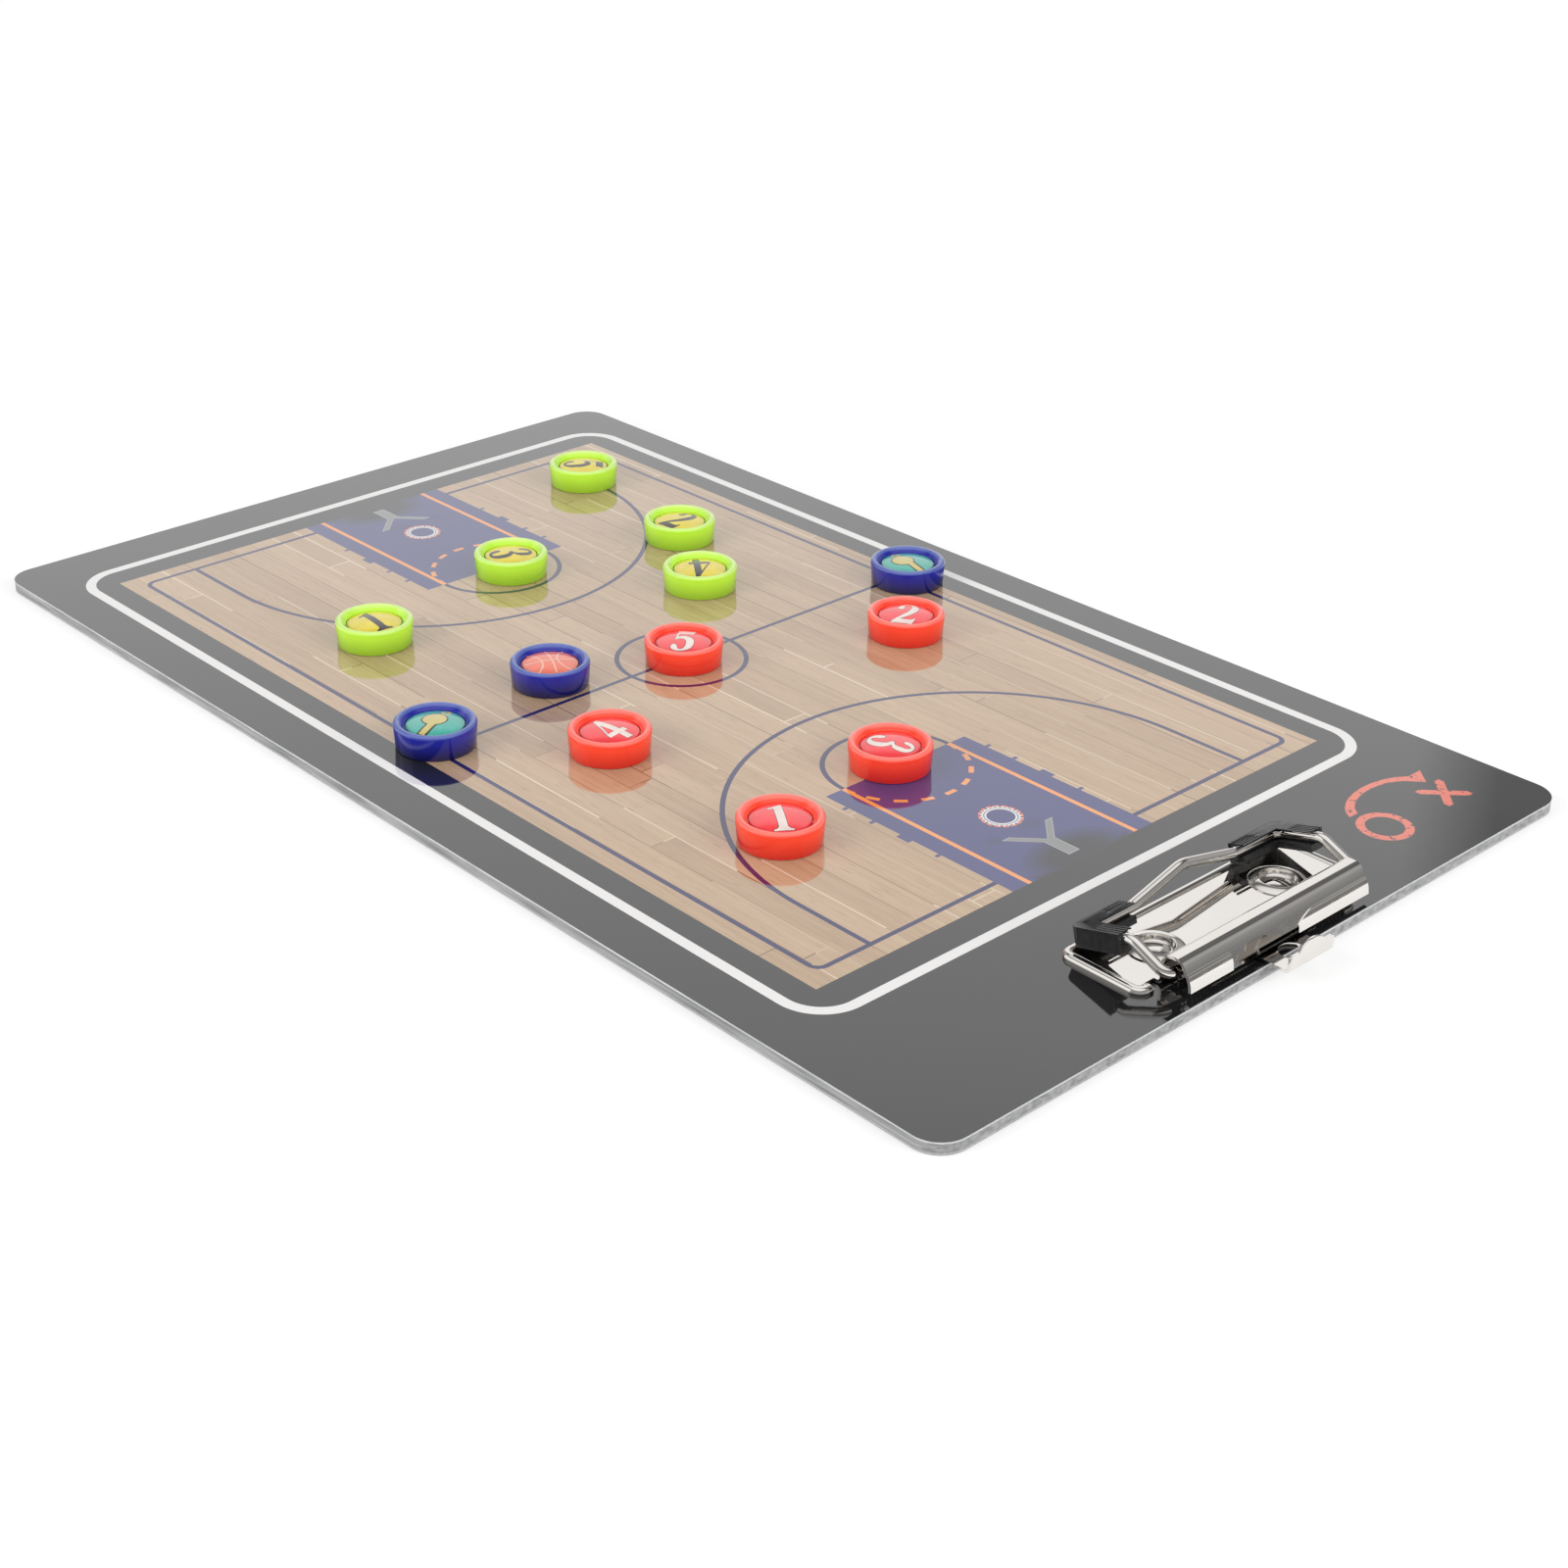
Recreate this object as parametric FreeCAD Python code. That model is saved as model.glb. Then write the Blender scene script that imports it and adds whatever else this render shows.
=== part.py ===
import FreeCAD, Part
import math
import os

from FreeCAD import Vector

# A coach's magnetic board. All sizes are in millimetres. The origin is the middle of the board's
# back face, +Z is up out of the printed side and +Y points to the edge that carries the paper clip.
os.makedirs("parts", exist_ok=True)

# Board: five flush layers, from the back up
board_width = 205.0
board_length = 350.0
board_corner_radius = 7.0
back_film_thickness = 0.15
back_sheet_thickness = 0.3
core_thickness = 2.0
steel_thickness = 0.4
front_film_thickness = 0.15

# Bail: one bent wire that pivots in the clip's barrel. Heights are above the printed face.
wire_diameter = 2.5
pivot_inset = 6.4
pivot_height = 4.3
hump_reach = 9.4
hump_height = 8.5
bar_reach = 21.3
bar_height = 5.1
bow_rise = 3.4
arm_gap = 0.65
bearing_clearance = 0.05
pivot_bend = 2.4
hump_bend = 4.0
corner_bend = 3.0
bow_foot_bend = 5.0
bow_top_bend = 8.0

# Return springs: one torsion spring round each end of the wire, inside the barrel
spring_wire = 0.7
spring_bore_gap = 0.15
spring_turns = 5.75
spring_pitch = 1.2
spring_end_gap = 0.5
spring_tang_clearance = 0.075
spring_leg_end_gap = 0.3

# Clip base: plated sheet, a beaded bed with a tongue and a curled barrel along the bed's near side
clip_sheet = 0.7
bed_lift = 0.3
bed_length = 73.4
bed_reach = 24.0
bed_near_reach = 2.0
bed_corner_radius = 3.2
bead_width = 2.6
bead_rise = 0.4
bead_bulge = 0.3
bead_return = 1.0
barrel_length = 59.0
barrel_back_gap = 0.4
barrel_head_room = 0.75
barrel_shoulder = 0.5
barrel_splay = 2.65
barrel_foot_flat = 0.15
barrel_foot_bend = 0.9
barrel_back_bend = 2.4
barrel_front_bend = 1.5
window_height = 2.75
plain_skirt_height = 1.7
flare_top = 5.0
flare_crease_bend = 0.4
flare_step_drop = 0.4
flare_step_out = 0.35
flare_step_bend = 0.5
flare_knee_height = 3.2
flare_knee_bend = 4.0
flare_foot_height = 1.5
flare_foot_out = 0.25
flare_corner_length = 8.3
flare_corner_drop = 2.1
left_flare_length = 13.5
right_flare_side = 5.5
slit_width = 0.4
tongue_width = 14.3
tongue_lift = 0.07
tongue_step = 2.0
tongue_step_bend = 1.2
tongue_overhang = 5.15
lip_bend = 0.7
lip_height = 4.0
lip_corner_radius = 0.8
lip_hump_width = 8.4
lip_hump_height = 5.9
hang_hole_radius = 3.3
hang_hole_overhang = 1.2
ear_thickness = 0.7
ear_wall = 0.8
ear_inset = 3.3

# Rivets: dished heads on the bed, tails rolled over washers sunk in the back
rivet_spacing = 40.6
rivet_inset = 18.2
rivet_flange_radius = 6.4
rivet_flange_height = 0.9
rivet_cup_radius = 4.4
rivet_cup_wall = 0.5
rivet_rim_width = 0.2
rivet_slope_drop = 0.2
rivet_edge_height = 0.3
rivet_cup_round = 0.6
rivet_shank_radius = 2.5
rivet_fit = 0.1
rivet_tail_radius = 4.0
rivet_tail_height = 0.3
rivet_tail_bore = 1.4
rivet_tail_sink = 0.12
washer_radius = 5.0
washer_thickness = 0.5
washer_fit = 0.2

# Grips: L-shaped rubber corners slipped on the bail
grip_bar_length = 15.6
grip_arm_length = 13.0
grip_out = 2.2
grip_in = 2.0
grip_above = 1.6
grip_seat_gap = 0.3
grip_fit = 0.05
grip_corner_radius = 2.0
rib_count = 4
rib_pitch = 0.9
rib_groove = 0.45
rib_depth = 0.4
rib_length = 6.0
rib_margin = 0.6

# Marker discs: moulded shell, domed label and a magnet pressed in from below
disc_radius = 10.0
disc_height = 6.5
disc_draft = 0.35
disc_edge_round = 0.9
disc_foot_round = 0.3
disc_land = 0.5
funnel_depth = 1.3
label_radius = 7.2
label_edge = 0.7
label_dome = 0.7
label_fit = 0.1
magnet_radius = 6.0
magnet_height = 2.8
magnet_fit = 0.05
magnet_sink = 0.15
core_out_wall = 0.85
core_out_width = 1.4
core_out_depth = 3.2

# Where each disc lies on the board
disc_places = {
    "lime_marker_1": (51.5, -73.4),
    "lime_marker_2": (-52.5, -73.7),
    "lime_marker_3": (-2.1, -85.7),
    "lime_marker_4": (-34.3, -44.5),
    "lime_marker_5": (-60.0, -125.6),
    "red_marker_1": (45.3, 72.0),
    "red_marker_2": (-53.8, 13.6),
    "red_marker_3": (2.0, 63.1),
    "red_marker_4": (46.0, 14.3),
    "red_marker_5": (0.1, -11.8),
    "referee_marker_1": (74.4, -15.8),
    "referee_marker_2": (-78.6, -10.0),
    "ball_marker": (33.2, -24.2),
}

# Levels and lines that several pieces share
layer_stack = [
    ("back_film", back_film_thickness),
    ("back_sheet", back_sheet_thickness),
    ("core_sheet", core_thickness),
    ("steel_sheet", steel_thickness),
    ("front_film", front_film_thickness),
]
board_top = sum(thickness for name, thickness in layer_stack)
clip_edge = board_length / 2
wire_radius = wire_diameter / 2
pivot_y = clip_edge - pivot_inset
pivot_z = board_top + pivot_height
arm_x = barrel_length / 2 + arm_gap + wire_radius
spring_mean_radius = wire_radius + spring_bore_gap + spring_wire / 2
spring_outer_radius = spring_mean_radius + spring_wire / 2
ear_x = barrel_length / 2 - ear_inset
spring_length = spring_turns * spring_pitch
spring_start_x = ear_x - ear_thickness / 2 - spring_end_gap - spring_wire / 2 - spring_length
pivot_end_x = spring_start_x - spring_wire
bed_top = board_top + bed_lift + clip_sheet
bead_top = bed_top + bead_rise
rivet_y = clip_edge - rivet_inset
rivet_places = [Vector(side * rivet_spacing / 2, rivet_y, 0) for side in (1, -1)]
washer_seat = rivet_tail_sink + rivet_tail_height + washer_thickness


def save(name, shape):
    """Writes one node after a look at its health."""
    shape = shape.removeSplitter()
    solids = shape.Solids
    if not shape.isValid() or not solids:
        raise ValueError("bad solid: " + name)
    result = solids[0] if len(solids) == 1 else Part.makeCompound(solids)
    result.exportStep("parts/" + name + ".step")
    print("%-26s solids %d  volume %.2f" % (name, len(solids), result.Volume))


def mirrored(shape):
    """The same piece on the other side of the board's middle plane."""
    return shape.mirror(Vector(0, 0, 0), Vector(1, 0, 0))


def outline(start, *steps):
    """Closed face in the plane Y = 0. A step is a point (x, z), or an arc as (middle, end)."""
    def spot(pair):
        return Vector(pair[0], 0, pair[1])

    edges = []
    here = spot(start)
    for step in steps + (start,):
        if isinstance(step[0], tuple):
            middle, there = spot(step[0]), spot(step[1])
            edges.append(Part.Arc(here, middle, there).toShape())
        else:
            there = spot(step)
            edges.append(Part.makeLine(here, there))
        here = there
    return Part.Face(Part.Wire(edges))


def turned(face):
    """Solid of revolution about Z."""
    return face.revolve(Vector(0, 0, 0), Vector(0, 0, 1), 360)


def rounded_plate(width, length, radius, thickness):
    """Flat plate on Z = 0, centred, with rounded corners."""
    plate = Part.makeBox(width, length, thickness, Vector(-width / 2, -length / 2, 0))
    corners = [edge for edge in plate.Edges if abs(edge.tangentAt(edge.FirstParameter).z) > 0.9]
    return plate.makeFillet(radius, corners)


def bends_along(corners, radii):
    """Straight runs and tangent arcs through the corners, each a list of (point, direction)."""
    runs = []
    here = corners[0]
    for before, corner, after, radius in zip(corners, corners[1:], corners[2:], radii):
        coming = (corner - before).normalize()
        going = (after - corner).normalize()
        turn = coming.getAngle(going)
        reach = radius * math.tan(turn / 2)
        first = corner - coming * reach
        last = corner + going * reach
        inward = (going - coming).normalize()
        middle = corner + inward * (radius / math.cos(turn / 2) - radius)
        runs.append([(here, coming), (first, coming)])
        runs.append([(first, coming), (middle, (coming + going).normalize()), (last, going)])
        here = last
    final = (corners[-1] - corners[-2]).normalize()
    runs.append([(here, final), (corners[-1], final)])
    return runs


def edge_through(points):
    """A line through two points or an arc through three."""
    if len(points) == 2:
        return Part.makeLine(*points)
    return Part.Arc(*points).toShape()


def strip_face(corners, radii, thickness):
    """Section of a bent sheet in the plane X = 0; corners are (y, z) on its middle line."""
    runs = bends_along([Vector(0, y, z) for y, z in corners], radii)
    across = Vector(1, 0, 0)
    sides = []
    for offset in (thickness / 2, -thickness / 2):
        moved = [[point + across.cross(way) * offset for point, way in run] for run in runs]
        sides.append(moved)
    edges = [edge_through(points) for side in sides for points in side]
    edges.append(Part.makeLine(sides[0][0][0], sides[1][0][0]))
    edges.append(Part.makeLine(sides[0][-1][-1], sides[1][-1][-1]))
    return Part.Face(Part.Wire(Part.__sortEdges__(edges)))


def bent_rod(corners, radii, radius):
    """Round rod along straight runs and tangent arcs."""
    runs = bends_along(corners, radii)
    path = Part.Wire([edge_through([point for point, way in run]) for run in runs])
    start, way = runs[0][0]
    ring = Part.Wire([Part.Circle(start, way, radius).toShape()])
    rod = path.makePipeShell([ring], True, False)
    return rod, path.Length


def box_between(low, high):
    """Box from its lowest to its highest corner."""
    return Part.makeBox(high[0] - low[0], high[1] - low[1], high[2] - low[2], Vector(*low))


# Board layers, drilled for the rivets and counterbored from the back for their washers
level = 0.0
for layer_name, layer_thickness in layer_stack:
    layer = rounded_plate(board_width, board_length, board_corner_radius, layer_thickness)
    layer.translate(Vector(0, 0, level))
    for place in rivet_places:
        layer = layer.cut(Part.makeCylinder(rivet_shank_radius + rivet_fit, board_top, place))
        layer = layer.cut(Part.makeCylinder(washer_radius + washer_fit, washer_seat, place))
    save(layer_name, layer)
    level += layer_thickness

# Rivets: a cup with a sharp rim and a sloping collar above, a rolled tail below
flange_top = bed_top + rivet_flange_height
cup_floor = board_top + rivet_cup_wall
cup_inside = rivet_cup_radius - rivet_cup_wall
cup_land = cup_inside - rivet_cup_round
cup_round_out = rivet_cup_round * math.sqrt(0.5)
rim_radius = rivet_cup_radius - rivet_rim_width
collar_middle = (rim_radius + rivet_flange_radius) / 2
tail_top = rivet_tail_sink + rivet_tail_height
tail_bore_top = washer_seat + washer_thickness
tail_round = rivet_tail_height * (1 - math.sqrt(0.5))
tail_land = rivet_tail_radius - rivet_tail_height
rivet_face = outline(
    (0, cup_floor),
    (cup_land, cup_floor),
    ((cup_land + cup_round_out, cup_floor + rivet_cup_round - cup_round_out), (cup_inside, cup_floor + rivet_cup_round)),
    (rim_radius, flange_top),
    ((collar_middle, flange_top - rivet_slope_drop), (rivet_flange_radius, bed_top + rivet_edge_height)),
    (rivet_flange_radius, bed_top),
    (rivet_cup_radius, bed_top),
    (rivet_cup_radius, board_top),
    (rivet_shank_radius, board_top),
    (rivet_shank_radius, tail_top),
    (rivet_tail_radius, tail_top),
    ((rivet_tail_radius - tail_round, rivet_tail_sink + tail_round), (tail_land, rivet_tail_sink)),
    (rivet_tail_bore, rivet_tail_sink),
    (rivet_tail_bore, tail_bore_top),
    (0, tail_bore_top),
)
rivet = turned(rivet_face)
save("clip_rivets", Part.makeCompound([rivet.translated(place) for place in rivet_places]))

washer = Part.makeCylinder(washer_radius, washer_thickness, Vector(0, 0, tail_top))
washer = washer.cut(Part.makeCylinder(rivet_shank_radius + rivet_fit, board_top))
save("rivet_washers", Part.makeCompound([washer.translated(place) for place in rivet_places]))

# Clip bed: a flat floor inside an arched bead whose outer edge stands on the board
bed_under = board_top + bed_lift
bed_far = pivot_y - bed_reach
bed_near = pivot_y - bed_near_reach
bed_half = bed_length / 2
bead_crest = bead_width / 2
bead_foot = (bead_crest + bead_width) / 2
bead_face = outline(
    (0, board_top),
    (0, board_top + bed_lift),
    ((bead_crest * bead_bulge, bead_top - clip_sheet * bead_bulge), (bead_crest, bead_top)),
    ((bead_foot, bead_top - bead_rise * bead_bulge), (bead_width, bed_top)),
    (bead_width, bed_under),
    ((bead_foot, bed_under + bead_rise * (1 - bead_bulge)), (bead_crest, bed_under + bead_rise)),
    (clip_sheet, board_top + bed_lift),
    (clip_sheet, board_top),
)
bead_face.rotate(Vector(0, 0, 0), Vector(0, 0, 1), 90)
run_start = bed_half - bed_corner_radius
bead_at_far = bead_face.translated(Vector(0, bed_far, 0))
far_run = bead_at_far.extrude(Vector(run_start, 0, 0))
far_pivot = Vector(run_start, bed_far + bed_corner_radius, 0)
near_pivot = Vector(run_start, bed_near - bed_corner_radius, 0)
bead_at_corner = bead_at_far.translated(Vector(run_start, 0, 0))
far_corner = bead_at_corner.revolve(far_pivot, Vector(0, 0, 1), 90)
bead_at_end = bead_at_corner.rotated(far_pivot, Vector(0, 0, 1), 90)
end_run = bead_at_end.extrude(near_pivot - far_pivot)
bead_at_near = bead_at_end.translated(near_pivot - far_pivot)
near_corner = bead_at_near.revolve(near_pivot, Vector(0, 0, 1), 90)
bead_at_return = bead_at_near.rotated(near_pivot, Vector(0, 0, 1), 90)
return_run = bead_at_return.extrude(Vector(-bead_return, 0, 0))
half_bead = far_run.multiFuse([far_corner, end_run, near_corner, return_run])
floor_depth = bed_near - bed_far - 2 * bead_width
floor = rounded_plate(bed_length - 2 * bead_width, floor_depth, bed_corner_radius - bead_width, clip_sheet)
floor.translate(Vector(0, (bed_far + bed_near) / 2, bed_under))

# Barrel: sheet that stands on the bed's near side, curls up over the pivot and ends in a skirt
half_sheet = clip_sheet / 2
floor_middle = bed_under + half_sheet
back_wall = pivot_y - spring_outer_radius - barrel_back_gap - half_sheet
barrel_foot = back_wall - barrel_foot_bend - barrel_foot_flat
crown = pivot_z + spring_outer_radius + barrel_head_room + half_sheet
shoulder_y = pivot_y + spring_outer_radius - barrel_shoulder
tongue_middle = board_top + tongue_lift + half_sheet
root_y = pivot_y + spring_outer_radius + barrel_splay
wall_slope = (root_y - shoulder_y) / (crown - tongue_middle)


def wall_at(height):
    """Point of the splayed near wall's middle line at a height above the printed face."""
    z = board_top + height
    return (shoulder_y + (crown - z) * wall_slope, z)


def run_along(face, start, end):
    """Sheet of one section between two places along the barrel."""
    return face.translated(Vector(start, 0, 0)).extrude(Vector(end - start, 0, 0))


skirt_start = wall_at(flare_top + clip_sheet)
barrel_line = [
    (barrel_foot, floor_middle),
    (back_wall, floor_middle),
    (back_wall, crown),
    (shoulder_y, crown),
    skirt_start,
]
barrel_bends = [barrel_foot_bend, barrel_back_bend, barrel_front_bend]
barrel_half = barrel_length / 2
barrel = run_along(strip_face(barrel_line, barrel_bends, clip_sheet), -barrel_half, barrel_half)

# Skirt: set out in a flare on both sides, plain between the left flare and the window for the tongue
step_y, step_z = wall_at(flare_top - flare_step_drop)
step_y += flare_step_out
knee_z = board_top + flare_knee_height
knee_y = step_y + (step_z - knee_z) * wall_slope
flare_line = [
    skirt_start,
    wall_at(flare_top),
    (step_y, step_z),
    (knee_y, knee_z),
    (knee_y + flare_foot_out, board_top + flare_foot_height),
]
flare_face = strip_face(flare_line, [flare_crease_bend, flare_step_bend, flare_knee_bend], clip_sheet)
plain_face = strip_face([skirt_start, wall_at(plain_skirt_height)], [], clip_sheet)
window_face = strip_face([skirt_start, wall_at(window_height)], [], clip_sheet)
tongue_side = tongue_width / 2
slit_side = tongue_side + slit_width
flare_side = barrel_half - left_flare_length
left_flare = run_along(flare_face, flare_side, barrel_half)
plain_skirt = run_along(plain_face, slit_side, flare_side)
window_edge = run_along(window_face, -right_flare_side, slit_side)

# The right flare's crease curves down to the window; above the curve the wall stays plain
corner_top = board_top + flare_top + flare_crease_bend
corner_start = -right_flare_side - flare_corner_length
corner_radius = (flare_corner_length ** 2 + flare_corner_drop ** 2) / (2 * flare_corner_drop)
half_turn = math.asin(flare_corner_length / corner_radius) / 2
curve_middle = (
    corner_start + corner_radius * math.sin(half_turn),
    corner_top - corner_radius * (1 - math.cos(half_turn)),
)
corner_face = outline(
    (corner_start, corner_top),
    (curve_middle, (-right_flare_side, corner_top - flare_corner_drop)),
    (-right_flare_side, crown),
    (corner_start, crown),
)
corner_block = corner_face.translated(Vector(0, pivot_y, 0)).extrude(Vector(0, pivot_inset, 0))
right_flare = run_along(flare_face, -barrel_half, -right_flare_side).cut(corner_block)
right_corner = run_along(window_face, corner_start, -right_flare_side).common(corner_block)

# Tongue: the bed's sheet, which steps down under the barrel, runs out over the board's edge and turns
# up into a lip with a round hump
lip_y = clip_edge + tongue_overhang
lip_foot = tongue_middle + lip_bend
tongue_face = strip_face(
    [
        (back_wall - tongue_step, floor_middle),
        (back_wall, floor_middle),
        (back_wall + tongue_step, tongue_middle),
        (lip_y, tongue_middle),
        (lip_y, lip_foot + half_sheet),
    ],
    [tongue_step_bend, tongue_step_bend, lip_bend],
    clip_sheet,
)
tongue = tongue_face.translated(Vector(-tongue_side, 0, 0)).extrude(Vector(tongue_width, 0, 0))
lip_top = board_top + lip_height
hump_side = lip_hump_width / 2
round_out = lip_corner_radius * (1 - math.sqrt(0.5))
lip_face = outline(
    (-tongue_side, lip_foot),
    (tongue_side, lip_foot),
    (tongue_side, lip_top - lip_corner_radius),
    ((tongue_side - round_out, lip_top - round_out), (tongue_side - lip_corner_radius, lip_top)),
    (hump_side, lip_top),
    ((0, board_top + lip_hump_height), (-hump_side, lip_top)),
    (-tongue_side + lip_corner_radius, lip_top),
    ((-tongue_side + round_out, lip_top - round_out), (-tongue_side, lip_top - lip_corner_radius)),
)
lip = lip_face.translated(Vector(0, lip_y - half_sheet, 0)).extrude(Vector(0, clip_sheet, 0))

# Ears: lugs folded in from the back wall that carry the wire's two ends
ear_radius = wire_radius + bearing_clearance + ear_wall
ear_web = box_between(
    (ear_x - ear_thickness / 2, back_wall, pivot_z - ear_radius),
    (ear_x + ear_thickness / 2, pivot_y, pivot_z + ear_radius),
)
ear_start = Vector(ear_x - ear_thickness / 2, pivot_y, pivot_z)
ear = ear_web.fuse(Part.makeCylinder(ear_radius, ear_thickness, ear_start, Vector(1, 0, 0)))

skirt = [left_flare, plain_skirt, window_edge, right_corner, right_flare]
clip_barrel = barrel.multiFuse(skirt + [ear, mirrored(ear)])
bore_start = Vector(-barrel_half, pivot_y, pivot_z)
bore_radius = wire_radius + bearing_clearance
clip_barrel = clip_barrel.cut(Part.makeCylinder(bore_radius, barrel_length, bore_start, Vector(1, 0, 0)))
tongue_way = box_between(
    (-slit_side, barrel_foot - clip_sheet, board_top), (slit_side, pivot_y, board_top + window_height)
)
save("clip_barrel", clip_barrel.cut(tongue_way))

near_side = box_between(
    (-barrel_half, bed_near - bead_width - clip_sheet, bed_under), (barrel_half, barrel_foot, bed_top)
)
clip_base = floor.multiFuse([half_bead, mirrored(half_bead), near_side, tongue, lip])
for place in rivet_places:
    clip_base = clip_base.cut(Part.makeCylinder(rivet_cup_radius + rivet_fit, bead_top, place))
hang_hole_place = Vector(0, clip_edge + hang_hole_overhang, board_top)
hang_hole_depth = tongue_lift + 2 * clip_sheet
clip_base = clip_base.cut(Part.makeCylinder(hang_hole_radius, hang_hole_depth, hang_hole_place))
save("clip_base", clip_base)

# Wire bail: pivot ends, arms that rise to a hump, a low bar in the grips and a raised bow between them
bar_y = pivot_y - bar_reach
bar_z = board_top + bar_height
hump_y = pivot_y - hump_reach
hump_z = board_top + hump_height
leg_tilt = math.atan2(hump_z - bar_z, hump_y - bar_y)
grip_bar_end = arm_x + grip_out - grip_bar_length
bow_foot_x = grip_bar_end - grip_fit - bow_foot_bend * math.tan(math.atan2(bow_rise, grip_bar_end) / 2) - spring_wire
bow_top = Vector(0, bar_y - bow_rise * math.sin(leg_tilt), bar_z + bow_rise * math.cos(leg_tilt))
half_bail = [
    Vector(pivot_end_x, pivot_y, pivot_z),
    Vector(arm_x, pivot_y, pivot_z),
    Vector(arm_x, hump_y, hump_z),
    Vector(arm_x, bar_y, bar_z),
    Vector(bow_foot_x, bar_y, bar_z),
]
other_half = [Vector(-point.x, point.y, point.z) for point in reversed(half_bail)]
half_bends = [pivot_bend, hump_bend, corner_bend, bow_foot_bend]
bail_corners = half_bail + [bow_top] + other_half
bail_bends = half_bends + [bow_top_bend] + half_bends[::-1]
bail, bail_length = bent_rod(bail_corners, bail_bends, wire_radius)
print("bail volume against section times length:", bail.Volume / (math.pi * wire_radius ** 2 * bail_length))
slot_half = spring_wire / 2 + spring_tang_clearance
slot = box_between(
    (pivot_end_x - spring_wire, pivot_y - slot_half, pivot_z - wire_diameter),
    (spring_start_x + slot_half, pivot_y + slot_half, pivot_z + wire_diameter),
)
save("wire_bail", bail.cut(slot).cut(mirrored(slot)))

# Return springs: a tang through the slot in the wire's end, the coil, and a leg down the back wall
helix = Part.makeHelix(spring_pitch, spring_length, spring_mean_radius)
rise = spring_pitch / (2 * math.pi * spring_mean_radius)
coil_ring = Part.Circle(Vector(spring_mean_radius, 0, 0), Vector(0, 1, rise), spring_wire / 2)
coil = Part.Wire(helix).makePipeShell([Part.Wire([coil_ring.toShape()])], True, True)
coil.rotate(Vector(0, 0, 0), Vector(0, 1, 0), 90)
coil.translate(Vector(spring_start_x, pivot_y, pivot_z))
tang_foot = Vector(spring_start_x, pivot_y, pivot_z - spring_mean_radius)
leg_top = Vector(spring_start_x + spring_length, pivot_y - spring_mean_radius, pivot_z)
tang = Part.makeCylinder(spring_wire / 2, spring_mean_radius + wire_radius, tang_foot, Vector(0, 0, 1))
leg_length = pivot_z - board_top - spring_leg_end_gap
leg = Part.makeCylinder(spring_wire / 2, leg_length, leg_top, Vector(0, 0, -1))
knuckles = [Part.makeSphere(spring_wire / 2, tang_foot), Part.makeSphere(spring_wire / 2, leg_top)]
spring = coil.multiFuse([tang, leg] + knuckles)
print("gap between spring turns:", spring_pitch - spring_wire)
save("return_springs", Part.makeCompound([spring, mirrored(spring)]))

# Grips: drawn flat round the bail's corner, then tilted with its leg. Local y runs up the leg.
seat_drop = (bar_z - bead_top - grip_seat_gap - grip_out * math.sin(leg_tilt)) / math.cos(leg_tilt)
grip_outer_x = arm_x + grip_out
grip_inner_x = arm_x - grip_in
grip_arm_end = grip_arm_length - grip_out
grip_shape = [
    (grip_outer_x, grip_arm_end),
    (grip_inner_x, grip_arm_end),
    (grip_inner_x, grip_in),
    (grip_bar_end, grip_in),
    (grip_bar_end, -grip_out),
]
corner_out = grip_corner_radius * (1 - math.sqrt(0.5))
round_start = Vector(grip_outer_x - grip_corner_radius, -grip_out, 0)
round_middle = Vector(grip_outer_x - corner_out, -grip_out + corner_out, 0)
round_end = Vector(grip_outer_x, -grip_out + grip_corner_radius, 0)
grip_points = [round_end] + [Vector(x, y, 0) for x, y in grip_shape] + [round_start]
grip_edges = [Part.makeLine(a, b) for a, b in zip(grip_points, grip_points[1:])]
grip_edges.append(Part.Arc(round_start, round_middle, round_end).toShape())
grip_face = Part.Face(Part.Wire(grip_edges)).translated(Vector(0, 0, -seat_drop))
grip = grip_face.extrude(Vector(0, 0, seat_drop + grip_above))
channel = wire_radius + grip_fit
grip = grip.cut(box_between(
    (grip_inner_x - channel, 0, -channel), (arm_x, grip_arm_end + channel, channel)))
grip = grip.cut(box_between(
    (grip_bar_end - channel, 0, -channel), (arm_x, grip_in + channel, channel)))
groove_bottom = grip_above - rib_depth
for rib in range(rib_count):
    shift = rib_margin + rib * rib_pitch
    arm_groove = (grip_outer_x - shift - rib_groove, grip_arm_end - rib_length, groove_bottom)
    bar_groove = (grip_bar_end - rib_depth, shift - grip_out, groove_bottom)
    grip = grip.cut(box_between(
        arm_groove, (grip_outer_x - shift, grip_arm_end + rib_depth, grip_above + rib_depth)))
    grip = grip.cut(box_between(
        bar_groove, (grip_bar_end + rib_length, shift - grip_out + rib_groove, grip_above + rib_depth)))
grip.rotate(Vector(0, 0, 0), Vector(1, 0, 0), math.degrees(leg_tilt))
grip.translate(Vector(0, bar_y, bar_z))
channel_rod, channel_length = bent_rod(bail_corners, bail_bends, channel)
grip = grip.cut(channel_rod)
save("left_grip", grip)
save("right_grip", mirrored(grip))

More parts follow.
